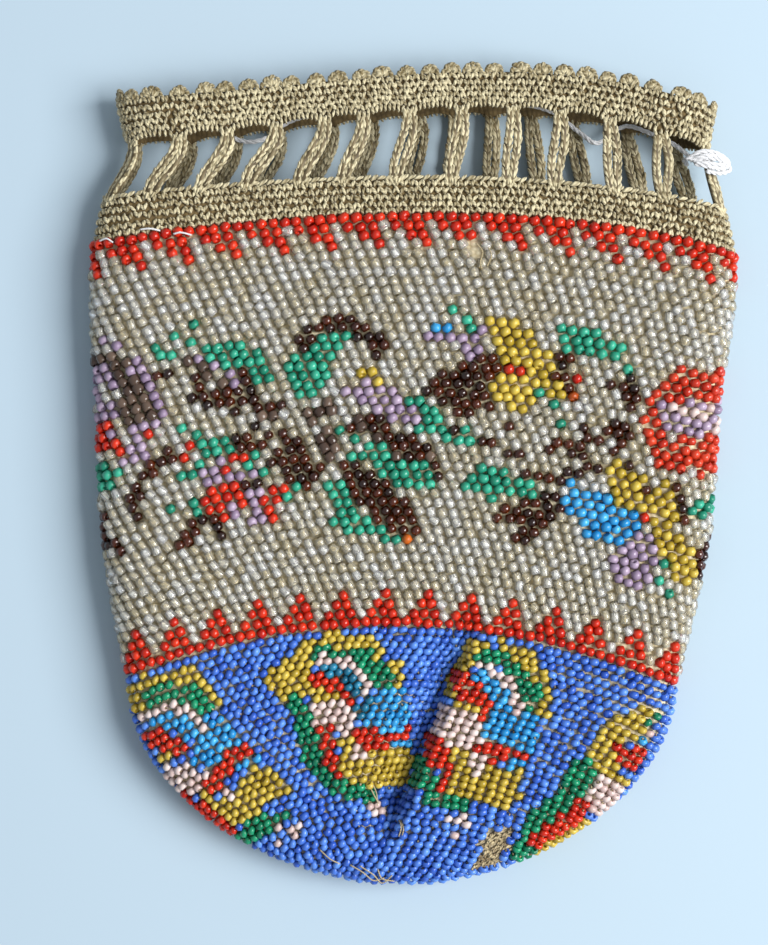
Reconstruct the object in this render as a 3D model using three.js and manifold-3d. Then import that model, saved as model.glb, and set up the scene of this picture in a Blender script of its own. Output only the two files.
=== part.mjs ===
import * as THREE from 'three';
import Module from 'manifold-3d';
import { mergeVertices } from 'three/addons/utils/BufferGeometryUtils.js';

// A drawstring reticule of bead crochet, lying flat on its back with its mouth towards +Y.
// Millimetres, +Z up, origin under the middle of the bag, on the surface it lies on.
// "Depth" is measured down the middle of the front, from the rim towards the base.

// Heights of the zones down the middle of the front
const SCALLOP_HEIGHT = 2.0;
const UPPER_BAND_HEIGHT = 7.2;
const EYELET_HEIGHT = 10.8;
const LOWER_BAND_HEIGHT = 6.5;
const BODY_HEIGHT = 75.4;
const BASE_HEIGHT = 46.9;

// Width of the flattened bag, edge to edge, and by how much its other levels are narrower
const SHOULDER_WIDTH = 118.4;
const RIM_TAPER = 7.4;
const WAIST_TAPER = 10.0;
const LOWER_BAND_TAPER = 3.4;
const MIDDLE_TAPER = 3.4;
const LOW_TAPER = 7.0;
const BASE_TAPER = 17.6;

// How far each of those levels lies to the right of the middle
const RIM_SHIFT = 0.5;
const WAIST_SHIFT = 0.7;
const LOWER_BAND_SHIFT = -0.2;
const SHOULDER_SHIFT = 0;
const MIDDLE_SHIFT = -1.1;
const LOW_SHIFT = -1.5;
const BASE_SHIFT = -2.2;

// How far the ends of a round hang below its middle, level by level
const RIM_BOW = 5.1;
const WAIST_BOW = 6.5;
const LOWER_BAND_BOW = 4.4;
const SHOULDER_BOW = 5.9;
const MIDDLE_BOW = 7.3;
const LOW_BOW = 9.0;
const BASE_BOW = 10.4;
const MOTIF_BOW = 14.0;
const UNDER_BOW = 8.2;
const ROW_TILT = 1.0;

// How far the rounds of the header are pushed up on its right and down on its left
const RIM_SKEW = 4.2;
const WAIST_SKEW = 4.2;
const LOWER_BAND_SKEW = 1.2;
const SHOULDER_SKEW = 1.6;

// Levels below the header and below the top of the base
const MIDDLE_LEVEL = 26.6;
const LOW_LEVEL = 50.4;
const MOTIF_LEVEL = 8.0;
const UNDER_LEVEL = 31.3;
const BASE_ROUNDNESS = 1.85;

// The section: two layers of beadwork that meet in soft rounded edges
const THICKNESS = 10.6;
const EDGE_ROUNDING = 12.0;
const BEAD_LAYER = 1.7;
const GROUND_THICKNESS = 0.8;
const HEADER_INSET = 0.6;
const HEADER_WALL = 1.6;
const SEAM_GAP = 0.3;

// Beadwork: one ridge stands for several rounds of beads
const ROUND_HEIGHT = 1.65;
const RIDGE_DEPTH = 0.7;
const ROUNDS_PER_RIDGE = 4.2;
const TEETH_PER_FACE = 14;
const TOOTH_ROUNDS = 3;
const TOOTH_LEAN = 0.62;

// Header: ridged bands, bars of two chain-stitch strands each and a scalloped rim
const UPPER_BAND_RIDGES = 1;
const LOWER_BAND_RIDGES = 2;
const HEADER_RIDGE_DEPTH = 0.3;
const BARS_PER_FACE = 13;
const BACK_BAR_SPREAD = 0.93;
const BACK_BAR_SHIFT = 1.6;
const STRAND_WIDTH = 1.6;
const EYE_WIDTH = 1.2;
const EYE_STEPS = 2;
const EYE_END = 0.2;
const BAR_LEAN_LEFT = 2.3;
const BAR_LEAN_RIGHT = 0.9;
const BAR_EMBED = 0.8;
const BAR_SINK = 0.15;
const SCALLOPS_PER_FACE = 23;
const SCALLOP_SHOULDERS = [0.28, 0.72];
const SCALLOP_FOOT = 1.0;

// Folds pressed into the front, placed from the middle of the top of the base
const PLEAT_TOP = new THREE.Vector2(9.6, -2.0);
const PLEAT_FOOT = new THREE.Vector2(-5.0, -37.3);
const PLEAT_DEPTH = 4.2;
const PLEAT_STEEP_SIDE = 2.2;
const PLEAT_SLACK_SIDE = 6.0;
const CREASE_TOP = new THREE.Vector2(-22.6, -15.3);
const CREASE_FOOT = new THREE.Vector2(-13.6, -34.3);
const CREASE_DEPTH = 1.4;
const CREASE_SIDE = 3.4;
const FOLD_END_FADE = 8.0;

// White drawstring: what is left of it lies inside the header and is looped round one bar.
// Its places are measured in from the right edge of the waist, down from the rim and up from the table.
const DRAWSTRING_DIAMETER = 0.9;
const DRAWSTRING_SIDES = 8;
const DRAWSTRING_ROUTE = [
  [89.4, 9.6, 3.0],
  [85.4, 10.8, 3.0],
  [81.7, 10.0, 3.0],
  [76.9, 6.8, 3.0],
  [64.9, 4.0, 3.0],
  [50.9, 3.2, 3.0],
  [37.9, 3.6, 3.0],
  [29.9, 5.2, 3.0],
  [24.4, 9.2, 3.0],
  [21.1, 11.0, 3.0],
  [16.4, 8.0, 3.0],
  [11.9, 9.2, 3.4],
  [7.4, 11.6, 4.6],
  [3.4, 14.9, 5.2],
  [0.3, 15.9, 5.3],
  [-0.7, 16.1, 6.6],
  [0.7, 15.8, 8.0],
  [2.6, 15.1, 9.5],
  [5.3, 14.7, 8.6],
  [6.0, 14.9, 7.0],
  [5.3, 15.5, 6.0],
];

// Fineness of the skins: steps down the bag, and the middle of the back and of the bands, which is plainer
const BODY_STEPS = 2;
const BASE_CROWDING = 1.5;
const PLAIN_MIDDLE = 0.8;

// Widths at the other levels
const RIM_WIDTH = SHOULDER_WIDTH - RIM_TAPER;
const WAIST_WIDTH = SHOULDER_WIDTH - WAIST_TAPER;
const LOWER_BAND_WIDTH = SHOULDER_WIDTH - LOWER_BAND_TAPER;
const MIDDLE_WIDTH = SHOULDER_WIDTH - MIDDLE_TAPER;
const LOW_WIDTH = SHOULDER_WIDTH - LOW_TAPER;
const BASE_WIDTH = SHOULDER_WIDTH - BASE_TAPER;

// Where the rim is highest, as a share across, and by how much that is above its middle
const RIM_PEAK = (Math.sqrt(RIM_BOW ** 2 + 3 * RIM_SKEW * (RIM_SKEW - ROW_TILT)) - RIM_BOW) / (3 * RIM_SKEW);
const RIM_RISE = (RIM_BOW + RIM_SKEW * RIM_PEAK) * (1 - RIM_PEAK ** 2) - ROW_TILT * RIM_PEAK - RIM_BOW;

// Levels worked out from the zone heights
const WAIST_DEPTH = UPPER_BAND_HEIGHT;
const LOWER_BAND_DEPTH = WAIST_DEPTH + EYELET_HEIGHT;
const SHOULDER_DEPTH = LOWER_BAND_DEPTH + LOWER_BAND_HEIGHT;
const BASE_DEPTH = SHOULDER_DEPTH + BODY_HEIGHT;
const CENTRE_DEPTH = BASE_DEPTH + BASE_HEIGHT;
const HALF_LENGTH = (SCALLOP_HEIGHT + RIM_RISE + CENTRE_DEPTH) / 2;
const HALF_THICKNESS = THICKNESS / 2;
const COLUMNS_PER_FACE = 2 * TEETH_PER_FACE;
const GROUND_OUTSIDE = BEAD_LAYER + SEAM_GAP;
const GROUND_INSIDE = GROUND_OUTSIDE + GROUND_THICKNESS;
const HEADER_OUTSIDE = HEADER_INSET;
const HEADER_INSIDE = HEADER_INSET + HEADER_WALL;

const STATIONS = [
  { depth: 0, width: RIM_WIDTH, shift: RIM_SHIFT, bow: RIM_BOW, skew: RIM_SKEW },
  { depth: WAIST_DEPTH, width: WAIST_WIDTH, shift: WAIST_SHIFT, bow: WAIST_BOW, skew: WAIST_SKEW },
  {
    depth: LOWER_BAND_DEPTH,
    width: LOWER_BAND_WIDTH,
    shift: LOWER_BAND_SHIFT,
    bow: LOWER_BAND_BOW,
    skew: LOWER_BAND_SKEW,
  },
  {
    depth: SHOULDER_DEPTH,
    width: SHOULDER_WIDTH,
    shift: SHOULDER_SHIFT,
    bow: SHOULDER_BOW,
    skew: SHOULDER_SKEW,
  },
  {
    depth: SHOULDER_DEPTH + MIDDLE_LEVEL,
    width: MIDDLE_WIDTH,
    shift: MIDDLE_SHIFT,
    bow: MIDDLE_BOW,
    skew: 0,
  },
  { depth: SHOULDER_DEPTH + LOW_LEVEL, width: LOW_WIDTH, shift: LOW_SHIFT, bow: LOW_BOW, skew: 0 },
  { depth: BASE_DEPTH, width: BASE_WIDTH, shift: BASE_SHIFT, bow: BASE_BOW, skew: 0 },
];

const BASE_BOWS = [
  { depth: BASE_DEPTH + MOTIF_LEVEL, bow: MOTIF_BOW, skew: 0 },
  { depth: BASE_DEPTH + UNDER_LEVEL, bow: UNDER_BOW, skew: 0 },
  { depth: CENTRE_DEPTH, bow: 0, skew: 0 },
];

// Height of a round's middle in the frame of the bag
function middleHeight(depth) {
  return HALF_LENGTH - SCALLOP_HEIGHT - RIM_RISE - depth;
}

function endHeight(station) {
  return middleHeight(station.depth) - station.bow;
}

const BASE_TOP = endHeight(STATIONS.at(-1));
const BASE_DROP = BASE_TOP - middleHeight(CENTRE_DEPTH);

const bowStations = [...STATIONS, ...BASE_BOWS];
const bowCurve = new THREE.CubicInterpolant(
  bowStations.map((station) => station.depth),
  bowStations.flatMap((station) => [station.bow, station.skew]),
  2,
);

const sideStations = STATIONS.toReversed();
const sideCurve = new THREE.CubicInterpolant(
  sideStations.map(endHeight),
  sideStations.flatMap((station) => [station.width / 2, station.shift]),
  2,
);

function bowAt(depth) {
  return bowCurve.evaluate(depth)[0];
}

// How far a round rises above the line between its ends, at a share across the bag
function riseAt(depth, across) {
  const [bow, skew] = bowCurve.evaluate(depth);
  return (bow + skew * across) * (1 - across ** 2);
}

// Half width and sideways shift of the outline at a height above the base
function sideAt(height) {
  const [half, shift] = sideCurve.evaluate(height);
  return { half, shift };
}

// The end of a round on the left (-1) or right (+1) edge; an inner skin is inset from the outline
function rowEnd(side, depth, inset) {
  const sunk = THREE.MathUtils.smoothstep(depth, BASE_DEPTH, CENTRE_DEPTH);
  const tilt = side * ROW_TILT * (1 - sunk);
  const height = middleHeight(depth) + inset * sunk - bowAt(depth) - tilt;
  if (height >= BASE_TOP) {
    const { half, shift } = sideAt(height);
    return new THREE.Vector2(shift + side * (half - inset), height);
  }
  const down = Math.min(1, (BASE_TOP - height) / (BASE_DROP - inset));
  const reach = (1 - down ** BASE_ROUNDNESS) ** (1 / BASE_ROUNDNESS);
  return new THREE.Vector2(BASE_SHIFT + side * reach * (BASE_WIDTH / 2 - inset), height);
}

// Distance from a point to the inset outline
function edgeDistance(x, y, inset) {
  if (y >= BASE_TOP) {
    const { half, shift } = sideAt(y);
    return half - inset - Math.abs(x - shift);
  }
  const across = Math.abs(x - BASE_SHIFT);
  const down = BASE_TOP - y;
  const reach = ((across / (BASE_WIDTH / 2 - inset)) ** BASE_ROUNDNESS
    + (down / (BASE_DROP - inset)) ** BASE_ROUNDNESS) ** (1 / BASE_ROUNDNESS);
  return (1 / reach - 1) * Math.hypot(across, down);
}

// Share of the full height at a distance from the edge: a quarter ellipse, then flat
function crownAt(distance, rounding) {
  const share = 1 - THREE.MathUtils.clamp(distance / rounding, 0, 1);
  return Math.sqrt(1 - share * share);
}

// Depth of one fold at a point, steeper on its right side than on its left
function foldAt(point, top, foot, depth, rightSide, leftSide) {
  const along = foot.clone().sub(top);
  const length = along.length();
  along.normalize();
  const offset = point.clone().sub(top);
  const run = offset.dot(along);
  const sideways = along.x * offset.y - along.y * offset.x;
  const spread = sideways / (sideways > 0 ? rightSide : leftSide);
  const fade = THREE.MathUtils.smoothstep(run, -FOLD_END_FADE, FOLD_END_FADE)
    * (1 - THREE.MathUtils.smoothstep(run, length - FOLD_END_FADE, length + FOLD_END_FADE));
  return depth * fade * Math.exp(-spread * spread);
}

// All the folds at a point, fading out before the edge of the innermost skin
function foldsAt(x, y) {
  const point = new THREE.Vector2(x, y - middleHeight(BASE_DEPTH));
  const pleat = foldAt(point, PLEAT_TOP, PLEAT_FOOT, PLEAT_DEPTH, PLEAT_STEEP_SIDE, PLEAT_SLACK_SIDE);
  const crease = foldAt(point, CREASE_TOP, CREASE_FOOT, CREASE_DEPTH, CREASE_SIDE, CREASE_SIDE);
  return (pleat + crease) * THREE.MathUtils.smoothstep(edgeDistance(x, y, GROUND_INSIDE), 0, EDGE_ROUNDING);
}

// A quarter of the way round: the rounded edge, then the flat to the middle
const EDGE_ARC = (Math.PI / 2) * Math.sqrt((EDGE_ROUNDING ** 2 + HALF_THICKNESS ** 2) / 2);
const QUARTER_ROUND = EDGE_ARC + SHOULDER_WIDTH / 2 - EDGE_ROUNDING;

// Where a place on the way round lies: front from left to right, then back from right to left
function columnAt(turn) {
  const wrapped = THREE.MathUtils.euclideanModulo(turn, 1);
  const face = wrapped < 0.5 ? 1 : -1;
  const run = face > 0 ? 4 * wrapped - 1 : 3 - 4 * wrapped;
  const arc = (1 - Math.abs(run)) * QUARTER_ROUND;
  const distance = arc < EDGE_ARC
    ? EDGE_ROUNDING * (1 - Math.cos((Math.PI / 2) * (arc / EDGE_ARC)))
    : EDGE_ROUNDING + arc - EDGE_ARC;
  return { face, across: Math.sign(run) * (1 - distance / (SHOULDER_WIDTH / 2)) };
}

// A point of the skin that lies an inset below the outside of the beadwork
function skinPoint(depth, column, inset) {
  const left = rowEnd(-1, depth, inset);
  const right = rowEnd(1, depth, inset);
  const x = THREE.MathUtils.lerp(left.x, right.x, (column.across + 1) / 2);
  const y = THREE.MathUtils.lerp(left.y, right.y, (column.across + 1) / 2) + riseAt(depth, column.across);
  const crown = crownAt(edgeDistance(x, y, inset), EDGE_ROUNDING - inset);
  const fold = column.face > 0 ? foldsAt(x, y) : 0;
  const z = HALF_THICKNESS + crown * column.face * (HALF_THICKNESS - inset) - fold;
  return new THREE.Vector3(x, y, z);
}

// As skinPoint, sunk by the valley of a ridge; the back is pressed flat between its rounded edges
function ridgedPoint(depth, column, inset, valley) {
  if (column.face > 0) return skinPoint(depth, column, inset + valley);
  const plain = skinPoint(depth, column, inset);
  const pressed = THREE.MathUtils.clamp(edgeDistance(plain.x, plain.y, inset) / EDGE_ROUNDING, 0, 1);
  return skinPoint(depth, column, inset + valley * (1 - pressed));
}

// Columns round the bag: a valley and a leaning tip for each zigzag tooth
const COLUMNS = Array.from({ length: 2 * COLUMNS_PER_FACE }, (_, index) => {
  const tooth = Math.floor(index / 2);
  const tip = index % 2 === 1;
  return { ...columnAt((tooth + (tip ? TOOTH_LEAN : 0)) / (2 * TEETH_PER_FACE)), tip };
});

// Columns round the rim: a notch and two shoulders for each scallop
const RIM_COLUMNS = Array.from({ length: 2 * SCALLOPS_PER_FACE }, (_, scallop) => {
  return [0, ...SCALLOP_SHOULDERS].map((share) => {
    return { ...columnAt((scallop + share) / (2 * SCALLOPS_PER_FACE)), tip: share > 0 };
  });
}).flat();

// Level rounds need no tips in the middle of the back, and no shoulders in the middle of the bands
const LEVEL_COLUMNS = COLUMNS.map((column, index) => {
  const plain = column.tip && column.face < 0 && Math.abs(column.across) < PLAIN_MIDDLE;
  return plain ? COLUMNS[index - 1] : column;
});
const BAND_COLUMNS = RIM_COLUMNS.map((column, index) => {
  const notch = index - (index % (1 + SCALLOP_SHOULDERS.length));
  return Math.abs(column.across) < PLAIN_MIDDLE ? RIM_COLUMNS[notch] : column;
});

function loopAt(depthOf, inset, valley = 0, columns = COLUMNS) {
  return columns.map((column) => ridgedPoint(depthOf(column), column, inset, valley));
}

function level(depth) {
  return () => depth;
}

// Depths from one level to another, crowded towards the far one where asked
function depthsBetween(from, to, steps, crowding = 1) {
  return Array.from({ length: steps + 1 }, (_, step) => {
    return THREE.MathUtils.lerp(from, to, 1 - (1 - step / steps) ** crowding);
  });
}

// Loops on a ridge and in a valley by turns
function ridgedLoops(depths, inset, valley, columns = LEVEL_COLUMNS) {
  return depths.map((depth, step) => loopAt(level(depth), inset, step % 2 === 0 ? 0 : valley, columns));
}

function plainLoops(depths, inset) {
  return depths.map((depth) => loopAt(level(depth), inset, 0, LEVEL_COLUMNS));
}

// Six times the volume that a triangle list encloses
function signedVolume(position, index) {
  const [a, b, c] = [new THREE.Vector3(), new THREE.Vector3(), new THREE.Vector3()];
  let total = 0;
  for (let corner = 0; corner < index.length; corner += 3) {
    a.fromBufferAttribute(position, index[corner]);
    b.fromBufferAttribute(position, index[corner + 1]);
    c.fromBufferAttribute(position, index[corner + 2]);
    total += a.dot(b.cross(c));
  }
  return total;
}

// Joins shared corners, drops triangles that collapsed to a line and turns the faces outwards
function closedGeometry(geometry) {
  geometry.deleteAttribute('normal');
  geometry.deleteAttribute('uv');
  const merged = mergeVertices(geometry);
  const corners = merged.index.array;
  const kept = [];
  for (let corner = 0; corner < corners.length; corner += 3) {
    const [a, b, c] = corners.slice(corner, corner + 3);
    if (a !== b && b !== c && c !== a) kept.push(a, b, c);
  }
  const inverted = signedVolume(merged.getAttribute('position'), kept) < 0;
  merged.setIndex(inverted ? kept.reverse() : kept);
  return merged;
}

// A closed wall between outer and inner loops, both listed from the rim down.
// A last loop that is drawn to one point closes a base. All quads split along the same
// diagonal, so that the walls of neighbouring skins stay parallel.
function wallBetween(outer, inner) {
  const loops = [...outer, ...inner];
  const count = outer[0].length;
  const index = [];
  const strip = (first, second, facesInwards) => {
    for (let column = 0; column < count; column += 1) {
      const beside = (column + 1) % count;
      const [a, b] = [first * count + column, first * count + beside];
      const [c, d] = [second * count + column, second * count + beside];
      index.push(...(facesInwards ? [a, b, c, b, d, c] : [a, c, b, b, c, d]));
    }
  };
  for (let row = 1; row < outer.length; row += 1) strip(row - 1, row, false);
  for (let row = outer.length + 1; row < loops.length; row += 1) strip(row - 1, row, true);
  strip(0, outer.length, true);
  strip(outer.length - 1, loops.length - 1, false);
  const geometry = new THREE.BufferGeometry();
  const position = loops.flat().flatMap((point) => point.toArray());
  geometry.setAttribute('position', new THREE.Float32BufferAttribute(position, 3));
  geometry.setIndex(index);
  return closedGeometry(geometry);
}

// Levels of the zigzag borders
const TOOTH_HEIGHT = TOOTH_ROUNDS * ROUND_HEIGHT;
const UPPER_TOP = SHOULDER_DEPTH + SEAM_GAP;
const UPPER_VALLEY = UPPER_TOP + ROUND_HEIGHT;
const LOWER_BOTTOM = BASE_DEPTH - SEAM_GAP;
const LOWER_VALLEY = LOWER_BOTTOM - ROUND_HEIGHT;
const FIELD_TOP = UPPER_VALLEY + TOOTH_HEIGHT + 2 * SEAM_GAP;
const FIELD_BOTTOM = LOWER_VALLEY - TOOTH_HEIGHT - 2 * SEAM_GAP;

function upperZigzag(gap) {
  return (column) => UPPER_VALLEY + gap + (column.tip ? TOOTH_HEIGHT : 0);
}

function lowerZigzag(gap) {
  return (column) => LOWER_VALLEY - gap - (column.tip ? TOOTH_HEIGHT : 0);
}

// The slopes of the teeth call for a wider gap along the depth
const ZIGZAG_GAP = 2 * SEAM_GAP;

function upperZigzagSkin() {
  const outer = [loopAt(level(UPPER_TOP), 0), loopAt(upperZigzag(0), 0)];
  const inner = [loopAt(level(UPPER_TOP), BEAD_LAYER), loopAt(upperZigzag(0), BEAD_LAYER)];
  return wallBetween(outer, inner);
}

function lowerZigzagSkin() {
  const outer = [loopAt(lowerZigzag(0), 0), loopAt(level(LOWER_BOTTOM), 0)];
  const inner = [loopAt(lowerZigzag(0), BEAD_LAYER), loopAt(level(LOWER_BOTTOM), BEAD_LAYER)];
  return wallBetween(outer, inner);
}

// Two steps for each ridge of bead rounds
function ridgeSteps(from, to) {
  return 2 * Math.max(1, Math.round((to - from) / (ROUNDS_PER_RIDGE * ROUND_HEIGHT)));
}

// Levels of the inner skins, shared so that they lie parallel; in the base they lie under the ridges
const BODY_DEPTHS = depthsBetween(FIELD_TOP, FIELD_BOTTOM, BODY_STEPS);
const BASE_STEPS = ridgeSteps(BASE_DEPTH, CENTRE_DEPTH);
const BASE_DEPTHS = depthsBetween(BASE_DEPTH, CENTRE_DEPTH, BASE_STEPS / 2, BASE_CROWDING);

function fieldSkin() {
  const rounds = depthsBetween(FIELD_TOP, FIELD_BOTTOM, ridgeSteps(FIELD_TOP, FIELD_BOTTOM));
  const outer = [
    loopAt(upperZigzag(ZIGZAG_GAP), 0),
    ...ridgedLoops(rounds, 0, RIDGE_DEPTH),
    loopAt(lowerZigzag(ZIGZAG_GAP), 0),
  ];
  const inner = [
    loopAt(upperZigzag(ZIGZAG_GAP), BEAD_LAYER),
    ...plainLoops(BODY_DEPTHS, BEAD_LAYER),
    loopAt(lowerZigzag(ZIGZAG_GAP), BEAD_LAYER),
  ];
  return wallBetween(outer, inner);
}

function baseSkin() {
  const rounds = depthsBetween(BASE_DEPTH, CENTRE_DEPTH, BASE_STEPS, BASE_CROWDING);
  return wallBetween(ridgedLoops(rounds, 0, RIDGE_DEPTH), plainLoops(BASE_DEPTHS, BEAD_LAYER));
}

// The crocheted ground is one continuous cup under all the beads
function groundSkin() {
  const loops = (inset) => plainLoops([UPPER_TOP, ...BODY_DEPTHS, ...BASE_DEPTHS], inset);
  return wallBetween(loops(GROUND_OUTSIDE), loops(GROUND_INSIDE));
}

function lowerBandSkin() {
  const depths = depthsBetween(LOWER_BAND_DEPTH, SHOULDER_DEPTH, 2 * LOWER_BAND_RIDGES);
  const outer = ridgedLoops(depths, HEADER_OUTSIDE, HEADER_RIDGE_DEPTH);
  const inner = plainLoops([LOWER_BAND_DEPTH, SHOULDER_DEPTH], HEADER_INSIDE);
  return wallBetween(outer, inner);
}

function scallopedRim(column) {
  return column.tip ? -SCALLOP_HEIGHT : 0;
}

function upperBandSkin() {
  const depths = depthsBetween(SCALLOP_FOOT, WAIST_DEPTH, 2 * UPPER_BAND_RIDGES);
  const ridges = ridgedLoops(depths, HEADER_OUTSIDE, HEADER_RIDGE_DEPTH, BAND_COLUMNS);
  const outer = [loopAt(scallopedRim, HEADER_OUTSIDE, 0, RIM_COLUMNS), ...ridges];
  const inner = [
    loopAt(scallopedRim, HEADER_INSIDE, 0, RIM_COLUMNS),
    loopAt(level(WAIST_DEPTH), HEADER_INSIDE, 0, BAND_COLUMNS),
  ];
  return wallBetween(outer, inner);
}

// Turn that goes with a length along the round
function turnOf(length) {
  return length / (4 * QUARTER_ROUND);
}

// Lean of a bar, from one edge of the bag to the other
function barLean(turn) {
  return THREE.MathUtils.lerp(BAR_LEAN_LEFT, BAR_LEAN_RIGHT, 2 * Math.min(turn, 1 - turn));
}

// The bars of the back stand closer together and to the left, so that they show between those of the front
function backBarTurn(turn) {
  return 0.75 + BACK_BAR_SPREAD * (turn - 0.25) + turnOf(BACK_BAR_SHIFT);
}

// Outline of a bar, drawn flat: x along the round, y as depth, with the narrow eye as a hole
function barShape(lean) {
  const from = WAIST_DEPTH - BAR_EMBED;
  const to = LOWER_BAND_DEPTH + BAR_EMBED;
  const edge = (side, share, halfWidth) => {
    const middle = lean * (0.5 - share);
    return new THREE.Vector2(middle + side * halfWidth, THREE.MathUtils.lerp(from, to, share));
  };
  const flank = (side) => Array.from({ length: EYE_STEPS + 1 }, (_, step) => {
    const share = step / EYE_STEPS;
    return edge(side, share, STRAND_WIDTH + (EYE_WIDTH / 2) * Math.sin(Math.PI * share));
  });
  const shape = new THREE.Shape([...flank(1), ...flank(-1).reverse()]);
  const eye = [
    edge(1, EYE_END, 0),
    edge(1, 0.5, EYE_WIDTH / 2),
    edge(1, 1 - EYE_END, 0),
    edge(-1, 0.5, EYE_WIDTH / 2),
  ];
  shape.holes.push(new THREE.Path(eye));
  return shape;
}

// One bar, laid into the curve of the header wall
function barSkin(turn) {
  const direction = turn < 0.5 ? 1 : -1;
  const depth = HEADER_WALL - 2 * BAR_SINK;
  const shape = barShape(direction * barLean(turn));
  const geometry = new THREE.ExtrudeGeometry(shape, { depth, bevelEnabled: false });
  const position = geometry.getAttribute('position');
  const corner = new THREE.Vector3();
  for (let index = 0; index < position.count; index += 1) {
    corner.fromBufferAttribute(position, index);
    const inset = HEADER_OUTSIDE + BAR_SINK + corner.z;
    const placed = skinPoint(corner.y, columnAt(turn + turnOf(corner.x)), inset);
    position.setXYZ(index, ...placed.toArray());
  }
  return closedGeometry(geometry);
}

const wasm = await Module();
wasm.setup();

function toSolid(geometry) {
  const vertProperties = new Float32Array(geometry.getAttribute('position').array);
  const triVerts = new Uint32Array(geometry.index.array);
  return new wasm.Manifold(new wasm.Mesh({ numProp: 3, vertProperties, triVerts }));
}

function toGeometry(solid) {
  const mesh = solid.getMesh();
  const geometry = new THREE.BufferGeometry();
  geometry.setAttribute('position', new THREE.Float32BufferAttribute(mesh.vertProperties, mesh.numProp));
  geometry.setIndex(new THREE.Uint32BufferAttribute(mesh.triVerts, 1));
  return geometry;
}

// Both bands, the bars between them and the scalloped rim are worked in one piece
function headerSkin() {
  const pieces = [upperBandSkin(), lowerBandSkin()];
  for (let bar = 0; bar < BARS_PER_FACE; bar += 1) {
    const turn = (bar + 0.5) / (2 * BARS_PER_FACE);
    pieces.push(barSkin(turn), barSkin(backBarTurn(turn)));
  }
  const joined = pieces.map(toSolid).reduce((whole, piece) => whole.add(piece));
  return toGeometry(joined);
}

function polygonShape(radius, sides) {
  const points = Array.from({ length: sides }, (_, side) => {
    const angle = (2 * Math.PI * side) / sides;
    return new THREE.Vector2(radius * Math.cos(angle), radius * Math.sin(angle));
  });
  return new THREE.Shape(points);
}

// A route that is stepped from point to point, so that tight turns keep their points
class RoutePath extends THREE.CatmullRomCurve3 {
  getUtoTmapping(share) {
    return share;
  }
}

function drawstringSkin() {
  const edge = WAIST_SHIFT + WAIST_WIDTH / 2;
  const points = DRAWSTRING_ROUTE.map(([inFromEdge, belowRim, height]) => {
    return new THREE.Vector3(edge - inFromEdge, middleHeight(belowRim), height);
  });
  const steps = points.length - 1;
  const extrudePath = new RoutePath(points);
  const section = polygonShape(DRAWSTRING_DIAMETER / 2, DRAWSTRING_SIDES);
  return closedGeometry(new THREE.ExtrudeGeometry(section, { steps, extrudePath }));
}

function finish(color, roughness) {
  return new THREE.MeshStandardMaterial({ color, roughness, metalness: 0 });
}

const TAN_SILK = finish('#b5a27c', 0.8);
const TAN_GROUND = finish('#a08d68', 0.85);
const RED_GLASS = finish('#c41a10', 0.25);
const CLEAR_GLASS = finish('#cfc7b4', 0.15);
const BLUE_GLASS = finish('#4a6fdc', 0.25);
const WHITE_COTTON = finish('#f2f0ec', 0.9);

function piece(name, geometry, material) {
  const mesh = new THREE.Mesh(geometry, material);
  mesh.name = name;
  return mesh;
}

const reticule = new THREE.Group();
reticule.add(
  piece('crochet_header', headerSkin(), TAN_SILK),
  piece('crochet_ground', groundSkin(), TAN_GROUND),
  piece('upper_red_zigzag_beads', upperZigzagSkin(), RED_GLASS),
  piece('clear_bead_field', fieldSkin(), CLEAR_GLASS),
  piece('lower_red_zigzag_beads', lowerZigzagSkin(), RED_GLASS),
  piece('blue_base_beads', baseSkin(), BLUE_GLASS),
  piece('drawstring', drawstringSkin(), WHITE_COTTON),
);

export default reticule;
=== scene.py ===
"""A drawstring reticule of bead crochet, dressed bead by bead and stitch by stitch over its solids.

The bag lies flat on its back with its mouth towards +Y. Sizes are millimetres in the bag's own
frame and become metres where a mesh is made. Depth is measured down the middle of the front,
from the rim towards the base, and turn goes once round the bag from its left edge over the front.
"""
import itertools
import logging
import math
from dataclasses import dataclass, field
from enum import Enum

import bmesh
import bpy
import numpy as np
from mathutils import Matrix, Vector


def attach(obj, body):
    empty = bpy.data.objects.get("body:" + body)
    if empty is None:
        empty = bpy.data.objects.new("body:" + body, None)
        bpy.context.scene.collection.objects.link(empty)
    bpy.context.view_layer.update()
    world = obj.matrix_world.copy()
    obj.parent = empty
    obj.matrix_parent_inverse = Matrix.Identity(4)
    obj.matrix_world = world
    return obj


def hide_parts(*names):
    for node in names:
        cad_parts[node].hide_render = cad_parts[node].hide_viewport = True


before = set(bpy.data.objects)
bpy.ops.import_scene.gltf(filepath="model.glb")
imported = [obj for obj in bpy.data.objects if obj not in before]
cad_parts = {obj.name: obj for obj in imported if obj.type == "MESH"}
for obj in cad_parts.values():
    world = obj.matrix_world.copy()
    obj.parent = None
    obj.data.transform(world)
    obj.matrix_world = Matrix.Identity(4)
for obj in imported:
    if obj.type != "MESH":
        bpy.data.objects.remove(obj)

LOG = logging.getLogger("reticule")
MM = 0.001
BODY = "root"
SEED = 1830
# Least lengths in place of nought, and the gap in metres at which doubles merge.
TINY = 1e-9
SMALL = 1e-6
SEAM = 1e-7
# The same gap in shapes of size 1, the sides and rings of a stitch's leg, and the sides of a core.
UNIT_SEAM = 1e-5
LEG_SIDES, LEG_RINGS = 6, 4
CORE_SIDES = 5
Point = tuple[float, float]
Place = tuple[float, float, float]


def smoothstep(value: np.ndarray, low: float, high: float) -> np.ndarray:
    """Rises from 0 at low to 1 at high with level ends."""
    share = np.clip((value - low) / (high - low), 0, 1)
    return share * share * (3 - 2 * share)


def lerp(start: np.ndarray, end: np.ndarray, share: np.ndarray) -> np.ndarray:
    """The value that lies a share of the way from start to end."""
    return start + (end - start) * share


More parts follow.
